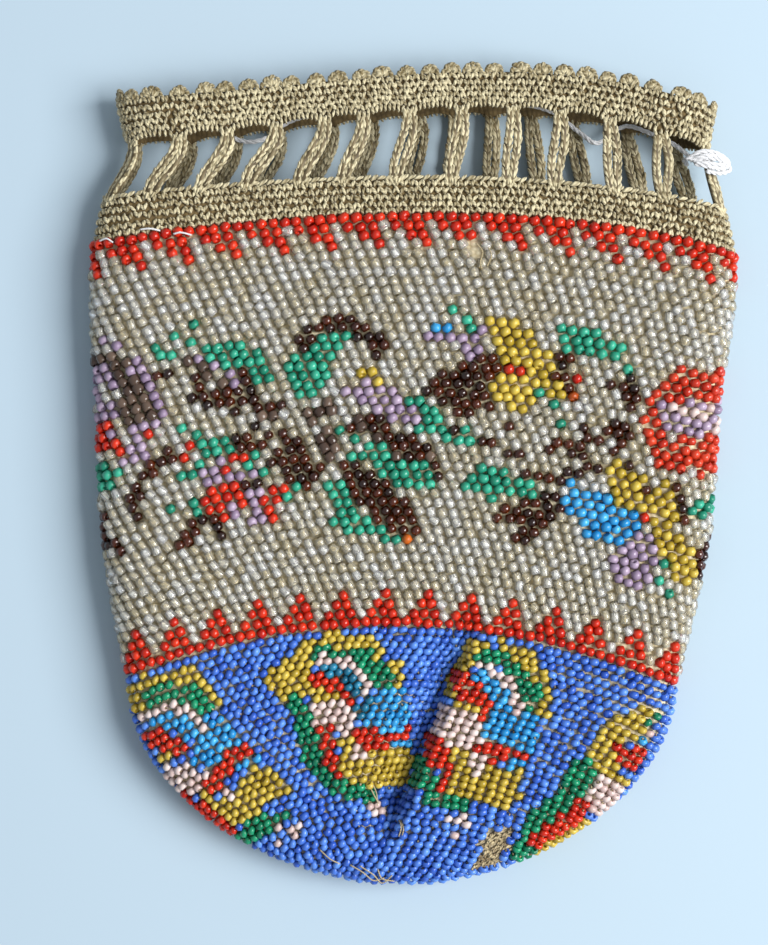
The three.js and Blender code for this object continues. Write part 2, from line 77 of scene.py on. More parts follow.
def unit(vectors: np.ndarray) -> np.ndarray:
    """Vectors of length 1 along the given ones."""
    return vectors / np.maximum(np.linalg.norm(vectors, axis=-1, keepdims=True), TINY)


def lengths_along(route: np.ndarray) -> np.ndarray:
    """The length of a run of places up to each of them."""
    return np.concatenate([[0], np.cumsum(np.linalg.norm(np.diff(route, axis=0), axis=1))])


def linear(hex_colour: str) -> tuple[float, float, float, float]:
    """Turns an sRGB hex colour into linear light.

    Args:
        hex_colour: Six hex digits after a hash sign.
    Returns:
        Linear red, green and blue with full alpha.
    """
    parts = [int(hex_colour[at:at + 2], 16) / 255 for at in (1, 3, 5)]
    lit = [p / 12.92 if p <= 0.04045 else ((p + 0.055) / 1.055) ** 2.4 for p in parts]
    return (*lit, 1.0)


def add_node(tree: bpy.types.NodeTree, kind: str, settings: dict | None = None,
             inputs: dict | None = None) -> bpy.types.Node:
    """Adds one node with its settings, socket values and links.

    Args:
        tree: The tree that takes the node.
        kind: Blender's name of the node's type.
        settings: Properties of the node itself.
        inputs: Socket name or index with its value, or with the output socket to link to it.
    Returns:
        The new node.
    """
    node = tree.nodes.new(kind)
    for key, value in (settings or {}).items():
        setattr(node, key, value)
    for key, value in (inputs or {}).items():
        if isinstance(value, bpy.types.NodeSocket):
            tree.links.new(value, node.inputs[key])
        else:
            node.inputs[key].default_value = value
    return node


class Spline:
    """A smooth curve through stations, with no curvature at its two ends."""

    def __init__(self, stations: list[Point]) -> None:
        """Keeps the stations and works out the weights of each span.

        Args:
            stations: Pairs of parameter and value, in rising order.
        """
        knots, values = np.array(stations, dtype=float).T
        self.knots = knots
        last = len(knots) - 1
        right = np.arange(1, last + 1)
        before = np.where(right > 1, right - 2, right)
        after = np.where(right < last, right + 1, right - 1)
        half = (knots[right] - knots[right - 1]) / 2
        self.weight_before = half / (knots[right - 1] - knots[before])
        self.weight_after = half / (knots[after] - knots[right])
        self.spans = values[before], values[right - 1], values[right], values[after]

    def __call__(self, at: np.ndarray) -> np.ndarray:
        """The curve's value at each parameter, held level beyond its ends.

        Args:
            at: The parameters.
        Returns:
            A value for each.
        """
        at = np.clip(at, self.knots[0], self.knots[-1])
        span = np.clip(np.searchsorted(self.knots, at, side="right"), 1, len(self.knots) - 1) - 1
        before, start, end, after = (values[span] for values in self.spans)
        wb, wa = self.weight_before[span], self.weight_after[span]
        p = (at - self.knots[span]) / (self.knots[span + 1] - self.knots[span])
        p2, p3 = p * p, p * p * p
        return (before * (-wb * p3 + 2 * wb * p2 - wb * p)
                + start * ((1 + wb) * p3 - (1.5 + 2 * wb) * p2 + (wb - 0.5) * p + 1)
                + end * (-(1 + wa) * p3 + (1.5 + wa) * p2 + 0.5 * p)
                + after * (wa * p3 - wa * p2))


@dataclass(frozen=True)
class Level:
    """A level of the flattened bag: depth, width and shift to the right, with its round's bow and skew."""

    depth: float
    width: float
    shift: float
    bow: float
    skew: float = 0.0


@dataclass(frozen=True)
class Fold:
    """A fold pressed into the front, with its ends counted from the middle of the top of the base."""

    top: Point
    foot: Point
    depth: float
    right_reach: float
    left_reach: float
    end_fade: float = 8.0

    def sink(self, x: np.ndarray, y: np.ndarray) -> np.ndarray:
        """How far the fold sinks the front at each place.

        Args:
            x: Places across the bag.
            y: Places along the bag, from the top of the base.
        Returns:
            The depth at each place.
        """
        run_x, run_y = self.foot[0] - self.top[0], self.foot[1] - self.top[1]
        length = math.hypot(run_x, run_y)
        run_x, run_y = run_x / length, run_y / length
        off_x, off_y = x - self.top[0], y - self.top[1]
        run = off_x * run_x + off_y * run_y
        sideways = run_x * off_y - run_y * off_x
        spread = sideways / np.where(sideways > 0, self.right_reach, self.left_reach)
        fade = smoothstep(run, -self.end_fade, self.end_fade)
        fade = fade * (1 - smoothstep(run, length - self.end_fade, length + self.end_fade))
        return self.depth * fade * np.exp(-spread * spread)


@dataclass
class BagForm:
    """The outside of the flattened bag, as its solids have it."""

    scallop_height: float = 2.0
    waist_depth: float = 7.2
    lower_band_depth: float = 18.0
    shoulder_depth: float = 24.5
    base_depth: float = 99.9
    centre_depth: float = 146.8
    thickness: float = 10.6
    edge_rounding: float = 12.0
    base_roundness: float = 1.85
    row_tilt: float = 1.0
    innermost: float = 2.8
    chart_height: float = 75.6
    tangent_turn: float = 0.0012
    tangent_depth: float = 0.3
    levels: tuple[Level, ...] = (
        Level(0.0, 111.0, 0.5, 5.1, 4.2),
        Level(7.2, 108.4, 0.7, 6.5, 4.2),
        Level(18.0, 115.0, -0.2, 4.4, 1.2),
        Level(24.5, 118.4, 0.0, 5.9, 1.6),
        Level(51.1, 115.0, -1.1, 7.3),
        Level(74.9, 111.4, -1.5, 9.0),
        Level(99.9, 100.8, -2.2, 10.4),
    )
    base_bows: tuple[Point, ...] = ((107.9, 14.0), (131.2, 8.2), (146.8, 0.0))
    folds: tuple[Fold, ...] = (
        Fold((9.6, -2.0), (-5.0, -37.3), 5.0, 1.1, 5.0),
        Fold((-22.6, -15.3), (-13.6, -34.3), 1.6, 2.2, 3.4),
        Fold((-10.0, -29.0), (-0.5, -30.6), 1.7, 0.7, 2.4, 2.0),
    )

    def __post_init__(self) -> None:
        """Works out the curves and lengths that the sizes give."""
        rim, base = self.levels[0], self.levels[-1]
        root = math.sqrt(rim.bow ** 2 + 3 * rim.skew * (rim.skew - self.row_tilt))
        peak = (root - rim.bow) / (3 * rim.skew)
        rise = (rim.bow + rim.skew * peak) * (1 - peak ** 2) - self.row_tilt * peak - rim.bow
        self.rim_height = (self.centre_depth - self.scallop_height - rise) / 2
        self.half_thickness = self.thickness / 2
        self.half_width = max(level.width for level in self.levels) / 2
        self.base_half, self.base_shift = base.width / 2, base.shift
        self.bow = Spline([(level.depth, level.bow) for level in self.levels] + list(self.base_bows))
        self.skew = Spline([(level.depth, level.skew) for level in self.levels]
                           + [(depth, 0.0) for depth, _ in self.base_bows])
        rising = [(self.middle(level.depth) - level.bow, level) for level in reversed(self.levels)]
        self.half_at = Spline([(height, level.width / 2) for height, level in rising])
        self.shift_at = Spline([(height, level.shift) for height, level in rising])
        self.base_top = rising[0][0]
        self.base_drop = self.base_top - self.middle(self.centre_depth)
        mean_square = (self.edge_rounding ** 2 + self.half_thickness ** 2) / 2
        self.edge_arc = math.pi / 2 * math.sqrt(mean_square)
        self.quarter = self.edge_arc + self.half_width - self.edge_rounding

    def middle(self, depth: np.ndarray) -> np.ndarray:
        """Height in the frame of a round's middle."""
        return self.rim_height - depth

    def chart(self, places: np.ndarray) -> np.ndarray:
        """Places as the charts of the figures count them, from a point above the foot of the base."""
        return places[:, :2] - (0.0, self.middle(self.centre_depth) + self.chart_height)

    def row_end(self, side: int, depth: np.ndarray, inset: np.ndarray) -> tuple[np.ndarray, np.ndarray]:
        """Where a round meets the left (-1) or right (+1) edge.

        Args:
            side: The edge.
            depth: The round's depth.
            inset: How far the skin lies inside the outline.
        Returns:
            The end's x and y.
        """
        sunk = smoothstep(depth, self.base_depth, self.centre_depth)
        y = self.middle(depth) + inset * sunk - self.bow(depth) - side * self.row_tilt * (1 - sunk)
        upper = self.shift_at(y) + side * (self.half_at(y) - inset)
        down = np.clip((self.base_top - y) / (self.base_drop - inset), 0, 1)
        reach = (1 - down ** self.base_roundness) ** (1 / self.base_roundness)
        lower = self.base_shift + side * reach * (self.base_half - inset)
        return np.where(y >= self.base_top, upper, lower), y

    def edge_distance(self, x: np.ndarray, y: np.ndarray, inset: np.ndarray) -> np.ndarray:
        """Distance from each place to the inset outline.

        Args:
            x: Places across the bag.
            y: Places along the bag.
            inset: How far the skin lies inside the outline.
        Returns:
            The distances.
        """
        upper = self.half_at(y) - inset - np.abs(x - self.shift_at(y))
        across, down = np.abs(x - self.base_shift), np.maximum(self.base_top - y, SMALL)
        power = self.base_roundness
        reach = ((across / (self.base_half - inset)) ** power
                 + (down / (self.base_drop - inset)) ** power) ** (1 / power)
        lower = (1 / np.maximum(reach, SMALL) - 1) * np.hypot(across, down)
        return np.where(y >= self.base_top, upper, lower)

    def height(self, x: np.ndarray, y: np.ndarray, inset: np.ndarray, face: np.ndarray) -> np.ndarray:
        """Height of the skin above the table.

        Args:
            x: Places across the bag.
            y: Places along the bag.
            inset: How far the skin lies below the outside of the beadwork.
            face: +1 for the front, -1 for the back.
        Returns:
            The height at each place.
        """
        rim = 1 - np.clip(self.edge_distance(x, y, inset) / (self.edge_rounding - inset), 0, 1)
        crown = np.sqrt(1 - rim * rim)
        fade = smoothstep(self.edge_distance(x, y, self.innermost), 0, self.edge_rounding)
        below = y - self.middle(self.base_depth)
        sink = sum(fold.sink(x, below) for fold in self.folds) * fade * (face > 0)
        return self.half_thickness + crown * face * (self.half_thickness - inset) - sink

    def column(self, turn: np.ndarray) -> tuple[np.ndarray, np.ndarray]:
        """The face (+1 front, -1 back) and the share across it of a place on the way round.

        Args:
            turn: Turns of the places.
        Returns:
            Faces, and shares from -1 to +1.
        """
        turn = np.mod(turn, 1)
        face = np.where(turn < 0.5, 1.0, -1.0)
        run = np.where(turn < 0.5, 4 * turn - 1, 3 - 4 * turn)
        arc = (1 - np.abs(run)) * self.quarter
        bent = self.edge_rounding * (1 - np.cos(math.pi / 2 * np.minimum(arc / self.edge_arc, 1)))
        distance = np.where(arc < self.edge_arc, bent, self.edge_rounding + arc - self.edge_arc)
        return face, np.sign(run) * (1 - distance / self.half_width)

    def point(self, depth: np.ndarray, turn: np.ndarray, inset: np.ndarray) -> np.ndarray:
        """Places on the skin that lies an inset below the outside of the beadwork.

        Args:
            depth: Depth of each place.
            turn: Turn of each place.
            inset: Inset of each place.
        Returns:
            One row of x, y and z for each place.
        """
        depth, turn, inset = np.broadcast_arrays(*(np.asarray(v, dtype=float) for v in (depth, turn, inset)))
        face, across = self.column(turn)
        left_x, left_y = self.row_end(-1, depth, inset)
        right_x, right_y = self.row_end(1, depth, inset)
        share = (across + 1) / 2
        x = lerp(left_x, right_x, share)
        rise = (self.bow(depth) + self.skew(depth) * across) * (1 - across ** 2)
        y = lerp(left_y, right_y, share) + rise
        return np.stack([x, y, self.height(x, y, inset, face)], axis=-1)

    def axes(self, depth: np.ndarray, turn: np.ndarray, inset: np.ndarray) -> tuple[np.ndarray, ...]:
        """Places with the directions along the round, down the bag and outwards.

        Args:
            depth: Depth of each place.
            turn: Turn of each place.
            inset: Inset of the skin.
        Returns:
            Places, unit tangents along the round, unit tangents down, unit normals.
        """
        right, left = turn + self.tangent_turn, turn - self.tangent_turn
        along = unit(self.point(depth, right, inset) - self.point(depth, left, inset))
        low = np.minimum(depth + self.tangent_depth, self.centre_depth)
        down = self.point(low, turn, inset) - self.point(low - 2 * self.tangent_depth, turn, inset)
        out = unit(np.cross(down, along))
        return self.point(depth, turn, inset), along, np.cross(along, out), out

    def turn_of(self, length: float) -> float:
        """The turn that goes with a length along the round."""
        return length / (4 * self.quarter)


FORM = BagForm()


class Tint(Enum):
    """The bead colours of the bag."""

    CLEAR = "clear"
    RED = "red"
    CORAL = "coral_red"
    TEAL = "teal"
    GREEN = "bottle_green"
    LILAC = "lilac"
    TAUPE = "taupe"
    BROWN = "dark_amber"
    ORANGE = "orange"
    YELLOW = "yellow"
    SKY = "sky_blue"
    PETROL = "petrol_blue"
    BLUE = "periwinkle_blue"
    PINK = "pale_pink"
    NONE = "none"


@dataclass(frozen=True)
class Patch:
    """A field of one colour with straight runs between its corners."""

    tint: Tint
    corners: tuple[Point, ...]

    def choose(self, places: np.ndarray) -> np.ndarray:
        """Marks the beads that lie inside the corners.

        Args:
            places: Places of the beads on the chart.
        Returns:
            True for each bead that is meant.
        """
        x, y = places.T
        inside = np.zeros(len(places), dtype=bool)
        for (ax, ay), (bx, by) in zip(self.corners, self.corners[1:] + self.corners[:1]):
            if ay != by:
                crosses = (ay > y) != (by > y)
                inside ^= crosses & (x < (bx - ax) * (y - ay) / (by - ay) + ax)
        return inside


@dataclass(frozen=True)
class Line:
    """A line of one colour, as wide as one or more beads."""

    tint: Tint
    width: float
    points: tuple[Point, ...]

    def choose(self, places: np.ndarray) -> np.ndarray:
        """Marks the beads that lie within half the width of the line.

        Args:
            places: Places of the beads on the chart.
        Returns:
            True for each bead that is meant.
        """
        near = np.zeros(len(places), dtype=bool)
        for start, end in zip(self.points, self.points[1:]):
            start, end = np.array(start), np.array(end)
            run = end - start
            share = np.clip((places - start) @ run / (run @ run), 0, 1)
            near |= np.linalg.norm(places - start - share[:, None] * run, axis=1) <= self.width / 2
        return near


@dataclass(frozen=True)
class Dots:
    """Single beads of one colour."""

    tint: Tint
    points: tuple[Point, ...]

    def choose(self, places: np.ndarray) -> np.ndarray:
        """Marks the bead that lies nearest to each point.

        Args:
            places: Places of the beads on the chart.
        Returns:
            True for each bead that is meant.
        """
        single = np.zeros(len(places), dtype=bool)
        for dot in self.points:
            single[np.argmin(np.linalg.norm(places - np.array(dot), axis=1))] = True
        return single


Figure = Patch | Line | Dots

# The flower band, read from left to right. Each figure lies over those before it.
LEFT_ROSE: tuple[Figure, ...] = (
    Patch(Tint.TAUPE, ((-58.0, 21.0), (-54.0, 21.6), (-51.0, 18.8), (-48.4, 16.5), (-47.2, 12.0),
        (-46.8, 8.6), (-52.8, 8.2), (-53.2, 14.0), (-54.6, 18.4), (-57.6, 19.2))),
    Dots(Tint.LILAC, ((-55.5, 23.1), (-53.4, 21.8), (-50.8, 20.0), (-50.4, 18.7), (-48.6, 18.9),
        (-48.2, 17.2), (-47.5, 15.4), (-46.9, 14.0), (-46.7, 11.9), (-46.1, 9.9), (-56.3, 18.3),
        (-57.4, 16.9), (-55.6, 16.6), (-57.1, 15.1), (-55.0, 15.0), (-56.4, 13.0), (-54.3, 12.9),
        (-56.0, 11.3), (-53.9, 11.2), (-57.3, 10.2), (-55.2, 9.8), (-58.3, 13.6), (-58.4, 17.8))),
    Line(Tint.LILAC, 1.8, ((-51.0, 8.0), (-49.2, 8.2), (-45.6, 8.8))),
    Line(Tint.LILAC, 1.8, ((-50.7, 6.2), (-48.9, 6.6))),
    Line(Tint.LILAC, 1.8, ((-51.6, 3.8), (-50.0, 4.5))),
    Line(Tint.LILAC, 1.8, ((-52.9, 2.2), (-50.4, 2.4), (-47.6, 3.1))),
    Patch(Tint.RED, ((-59.5, 9.0), (-53.9, 8.8), (-54.5, 5.8), (-52.4, 4.6), (-52.8, 2.9), (-59.5, 3.6))),
    Dots(Tint.LILAC, ((-54.2, 5.9),)),
    Dots(Tint.RED, ((-47.2, 6.8),)),
    Patch(Tint.TEAL, ((-58.6, 1.0), (-51.5, 1.0), (-52.3, -1.0), (-54.0, -2.5), (-55.0, -4.0),
        (-58.6, -3.6))),
    Line(Tint.BROWN, 2.6, ((-43.8, 3.2), (-46.5, 1.6), (-49.2, -1.0), (-50.0, -4.0), (-50.1, -7.6))),
    Line(Tint.BROWN, 2.0, ((-56.3, -8.6), (-56.4, -10.6), (-56.0, -12.8), (-54.0, -12.8), (-53.4, -14.6))),
)
SPRAY_FLOWER: tuple[Figure, ...] = (
    Dots(Tint.TEAL, ((-47.6, 22.5), (-45.2, 21.3), (-43.4, 21.5), (-40.6, 26.2), (-42.2, 24.8),
        (-39.8, 23.8))),
    Patch(Tint.TEAL, ((-39.9, 22.8), (-33.0, 23.6), (-28.0, 21.6), (-26.2, 18.6), (-25.9, 15.1),
        (-29.8, 15.1), (-30.2, 18.2), (-34.6, 18.2), (-37.6, 19.8))),
    Dots(Tint.TEAL, ((-28.2, 20.9), (-27.0, 20.6))),
    Patch(Tint.BROWN, ((-40.9, 18.4), (-38.9, 18.0), (-37.8, 15.5), (-35.3, 14.4), (-33.1, 14.4),
        (-32.5, 18.0), (-30.2, 18.0), (-29.9, 14.6), (-31.4, 10.8), (-37.2, 10.8), (-37.8, 12.4),
        (-41.6, 11.8), (-41.7, 13.4), (-40.4, 13.8))),
    Patch(Tint.TAUPE, ((-41.2, 20.6), (-39.2, 20.4), (-36.0, 17.2), (-33.9, 15.2), (-35.2, 14.8),
        (-37.6, 16.0), (-39.2, 18.2), (-41.0, 18.6))),
    Dots(Tint.LILAC, ((-38.5, 20.6), (-35.9, 18.6), (-33.5, 17.4), (-33.2, 15.9))),
    Line(Tint.BROWN, 2.0, ((-46.6, 17.6), (-43.6, 18.2))),
    Line(Tint.BROWN, 2.2, ((-29.0, 13.8), (-28.2, 12.2), (-23.2, 12.0))),
    Line(Tint.TAUPE, 1.6, ((-28.6, 10.6), (-25.0, 10.4))),
)
RED_FLOWER: tuple[Figure, ...] = (
    Patch(Tint.TEAL, ((-42.0, 7.8), (-38.8, 7.8), (-38.0, 6.6), (-33.6, 7.0), (-33.2, 3.6), (-37.0, 2.8),
        (-37.0, 1.2), (-40.2, 1.0), (-38.8, 4.0), (-39.8, 6.2))),
    Dots(Tint.RED, ((-42.0, 2.7), (-40.2, 3.6), (-39.9, 4.2))),
    Line(Tint.LILAC, 1.8, ((-35.8, 2.2), (-33.4, 3.0))),
    Line(Tint.LILAC, 1.8, ((-39.0, 0.3), (-35.2, 0.6))),
    Line(Tint.LILAC, 1.8, ((-36.5, -1.1), (-33.0, -0.8), (-28.8, -0.4))),
    Dots(Tint.LILAC, ((-38.0, -2.7),)),
    Line(Tint.RED, 2.0, ((-31.6, 2.8), (-33.4, 0.9))),
    Patch(Tint.TEAL, ((-30.4, 3.6), (-26.8, 3.8), (-26.8, 2.2), (-28.6, 1.8), (-28.6, 0.4), (-31.8, 0.0),
        (-31.8, 1.2), (-30.4, 1.6))),
    Dots(Tint.TEAL, ((-26.6, -0.6), (-42.3, -0.9), (-40.8, -0.9))),
    Patch(Tint.BROWN, ((-27.2, 7.2), (-23.4, 7.2), (-20.4, 5.4), (-19.4, 2.2), (-16.8, 1.0), (-17.0, -1.6),
        (-19.0, -3.8), (-20.2, -2.2), (-23.6, -2.2), (-24.0, 0.0), (-27.8, 0.2), (-27.6, 1.6), (-25.6, 2.0),
        (-25.6, 4.0), (-23.8, 5.2), (-27.0, 5.8))),
    Patch(Tint.BROWN, ((-33.0, 7.0), (-29.4, 7.0), (-27.0, 5.2), (-27.0, 3.8), (-30.6, 3.8), (-32.6, 4.8))),
    Dots(Tint.BROWN, ((-29.1, 8.0),)),
    Line(Tint.BROWN, 1.8, ((-32.4, -2.4), (-28.2, -2.4))),
    Patch(Tint.RED, ((-37.4, -1.9), (-33.4, -1.9), (-31.0, -3.6), (-30.6, -6.8), (-29.6, -8.8),
        (-35.2, -9.0), (-38.4, -5.6))),
    Patch(Tint.RED, ((-26.8, -2.9), (-22.8, -2.6), (-22.8, -5.0), (-24.6, -6.5), (-25.0, -10.0),
        (-27.4, -9.6), (-27.0, -7.0), (-28.4, -5.6))),
    Dots(Tint.LILAC, ((-29.6, -4.4), (-27.7, -3.9), (-33.2, -6.2), (-29.4, -5.8), (-32.4, -7.9),
        (-28.6, -7.6), (-29.7, -9.5), (-28.0, -9.2))),
    Dots(Tint.TEAL, ((-44.1, -7.1), (-40.6, -6.4), (-39.1, -6.5), (-21.4, -3.3), (-23.0, -5.5))),
    Line(Tint.BROWN, 1.9, ((-38.5, -8.4), (-40.0, -10.4), (-40.6, -12.0), (-42.9, -12.8))),
    Line(Tint.BROWN, 1.9, ((-36.8, -8.6), (-35.9, -10.0), (-35.2, -12.0))),
)
LILAC_LEAF: tuple[Figure, ...] = (
    Patch(Tint.TEAL, ((-19.6, 23.9), (-11.0, 24.6), (-10.6, 22.8), (-14.4, 22.2), (-14.4, 20.2),
        (-15.6, 18.0), (-15.6, 15.4), (-17.6, 13.0), (-21.2, 13.0), (-21.6, 16.0), (-23.8, 18.2),
        (-23.8, 19.8), (-20.4, 21.2))),
    Line(Tint.BROWN, 2.8, ((-20.6, 22.9), (-18.6, 24.9), (-16.0, 26.2), (-12.2, 26.3), (-9.5, 24.8),
        (-7.2, 24.6), (-6.5, 21.8))),
    Dots(Tint.YELLOW, ((-10.5, 17.8), (-8.3, 18.1), (-7.6, 16.4))),
    Patch(Tint.LILAC, ((-12.6, 15.6), (-10.2, 15.4), (-9.6, 17.2), (-8.6, 17.0), (-6.4, 15.2), (-5.6, 17.0),
        (-4.6, 15.2), (-2.4, 14.8), (-2.2, 12.3), (0.0, 11.6), (0.6, 8.9), (-5.4, 8.9), (-7.6, 10.8),
        (-10.0, 11.8), (-12.4, 13.8))),
    Dots(Tint.TAUPE, ((-15.6, 12.6), (-15.8, 11.0), (-19.0, 10.9), (-17.4, 10.4), (-18.8, 9.2),
        (-16.2, 7.4), (-17.8, 5.5), (-15.8, 5.7), (-17.2, 3.9), (-13.5, 4.2), (-14.5, 2.5))),
    Dots(Tint.TEAL, ((-14.1, 7.3),)),
    Patch(Tint.BROWN, ((-11.8, 9.8), (-5.6, 10.0), (-4.6, 7.1), (-0.4, 7.0), (0.6, 5.2), (2.8, 5.2),
        (3.0, 1.6), (0.0, 1.6), (-3.6, 2.0), (-4.2, 4.6), (-8.0, 5.2), (-8.4, 6.8), (-12.0, 7.0))),
    Dots(Tint.TAUPE, ((-10.8, 9.4), (-10.4, 8.0), (-7.6, 6.0), (-2.2, 2.6), (2.2, 2.0))),
    Patch(Tint.TEAL, ((-13.0, 6.5), (-9.0, 6.5), (-8.4, 5.1), (-4.0, 5.1), (-3.6, 2.2), (0.6, 1.8),
        (3.4, 0.6), (3.6, -3.4), (-2.6, -3.4), (-4.8, -1.4), (-6.8, 0.0), (-7.4, 1.4), (-11.8, 1.3),
        (-11.8, 3.0), (-9.8, 4.6))),
    Line(Tint.BROWN, 2.0, ((4.5, 1.6), (4.2, -1.6))),
    Patch(Tint.TEAL, ((-14.8, -0.8), (-12.8, -0.8), (-12.2, -3.2), (-11.2, -5.2), (-9.6, -6.2),
        (-9.2, -7.4), (-7.2, -7.8), (-6.6, -9.2), (-4.8, -9.4), (-4.2, -10.9), (-2.2, -10.9), (-2.2, -12.9),
        (-6.0, -12.9), (-6.4, -11.2), (-12.4, -11.0), (-14.8, -9.6), (-15.2, -6.6), (-16.6, -4.2),
        (-16.2, -2.4))),
    Patch(Tint.BROWN, ((-13.2, 1.2), (-9.0, 1.4), (-6.6, -0.6), (-4.0, -2.2), (-3.4, -4.6), (-0.6, -5.4),
        (0.0, -8.0), (0.4, -11.0), (-3.8, -10.6), (-6.8, -8.6), (-9.0, -6.8), (-10.6, -5.0), (-11.8, -2.8),
        (-12.6, -0.6))),
    Dots(Tint.ORANGE, ((-1.0, -11.9),)),
)
YELLOW_FLOWER: tuple[Figure, ...] = (
    Patch(Tint.TEAL, ((-2.2, 13.3), (1.6, 13.5), (2.0, 12.0), (4.4, 11.8), (4.8, 9.0), (5.8, 8.6),
        (5.8, 7.0), (8.4, 6.9), (8.4, 8.6), (10.3, 8.6), (10.4, 5.2), (4.4, 5.2), (3.6, 7.0), (-0.8, 6.9),
        (-0.8, 8.7), (1.0, 9.0), (0.4, 11.2), (-2.2, 11.5))),
    Dots(Tint.BROWN, ((6.8, 7.8),)),
    Line(Tint.SKY, 1.8, ((2.2, 26.8), (7.0, 26.1))),
    Patch(Tint.LILAC, ((1.8, 25.8), (8.2, 25.2), (8.4, 27.0), (10.0, 27.0), (12.7, 25.2), (13.0, 20.3),
        (9.9, 20.3), (10.0, 22.2), (4.8, 22.8), (1.8, 24.2))),
    Dots(Tint.TEAL, ((7.7, 29.5), (10.5, 27.8), (11.0, 25.9))),
    Patch(Tint.BROWN, ((4.0, 18.2), (2.0, 16.6), (2.1, 14.0), (3.4, 12.4), (5.0, 11.3), (7.8, 10.2),
        (10.8, 10.2), (12.4, 12.0), (14.8, 11.8), (14.8, 12.8), (12.9, 14.5), (13.2, 16.8), (16.2, 18.4),
        (15.6, 20.0), (13.2, 20.4), (10.5, 20.6), (7.8, 20.0), (6.8, 18.6))),
    Patch(Tint.YELLOW, ((12.8, 25.8), (13.8, 28.3), (17.3, 28.0), (18.6, 26.0), (20.8, 24.9), (21.6, 22.2),
        (26.0, 21.4), (26.2, 17.2), (27.4, 15.0), (26.7, 12.5), (23.4, 12.7), (22.4, 14.4), (20.8, 12.4),
        (18.9, 10.2), (17.2, 11.0), (13.2, 12.9), (13.0, 15.8), (14.8, 17.6), (18.4, 17.0), (20.2, 19.0),
        (18.8, 19.2), (14.4, 19.6), (13.2, 23.0))),
    Line(Tint.CORAL, 1.9, ((17.2, 18.0), (19.6, 18.1))),
    Dots(Tint.TEAL, ((22.0, 14.1), (24.4, 11.9), (26.8, 9.5))),
    Patch(Tint.BROWN, ((25.8, 21.2), (28.1, 21.2), (28.3, 17.5), (29.4, 16.4), (28.8, 14.1), (26.8, 14.1),
        (26.4, 16.4), (24.9, 17.4), (26.4, 18.2))),
    Dots(Tint.RED, ((29.7, 16.0),)),
    Dots(Tint.ORANGE, ((28.0, 13.1),)),
)
RIGHT_SPRAYS: tuple[Figure, ...] = (
    Patch(Tint.TEAL, ((24.8, 26.5), (32.8, 26.2), (34.0, 24.1), (37.4, 23.3), (37.8, 20.2), (34.8, 20.4),
        (27.6, 21.4), (25.4, 22.8))),
    Dots(Tint.TEAL, ((39.0, 18.3),)),
    Patch(Tint.BROWN, ((38.4, 17.3), (40.4, 17.1), (40.9, 11.2), (36.9, 11.6), (36.5, 13.8), (34.7, 14.2),
        (35.0, 15.7), (37.6, 15.7))),
    Dots(Tint.BROWN, ((16.7, 8.2), (11.9, 5.2), (13.6, 5.1), (16.3, 3.0), (18.1, 2.4))),
    Line(Tint.BROWN, 1.8, ((23.2, 4.7), (26.4, 4.5))),
    Patch(Tint.BROWN, ((26.4, 6.3), (30.0, 5.9), (30.8, 2.5), (28.6, 2.4), (26.2, 3.8))),
    Line(Tint.BROWN, 1.9, ((30.6, 7.0), (33.0, 5.6))),
    Line(Tint.BROWN, 2.1, ((34.6, 8.0), (36.8, 7.6), (38.8, 6.8))),
    Line(Tint.BROWN, 2.0, ((36.4, 6.8), (36.8, 3.0))),
    Line(Tint.BROWN, 1.9, ((32.4, 0.9), (29.6, -0.4), (25.0, -1.2), (20.4, 0.2))),
    Patch(Tint.TEAL, ((11.4, 0.5), (15.6, 0.7), (18.6, -0.9), (21.8, -1.9), (23.8, -4.0), (22.6, -5.1),
        (18.0, -5.1), (14.6, -4.9), (8.0, -4.1), (8.0, -3.0), (10.0, -1.2))),
    Patch(Tint.BROWN, ((18.4, -4.4), (26.0, -4.1), (26.2, -6.8), (24.6, -8.4), (25.0, -10.2), (22.0, -11.6),
        (21.0, -13.4), (17.2, -12.8), (17.7, -10.2), (17.6, -8.9), (14.6, -8.7), (14.6, -7.1),
        (17.0, -6.6))),
)
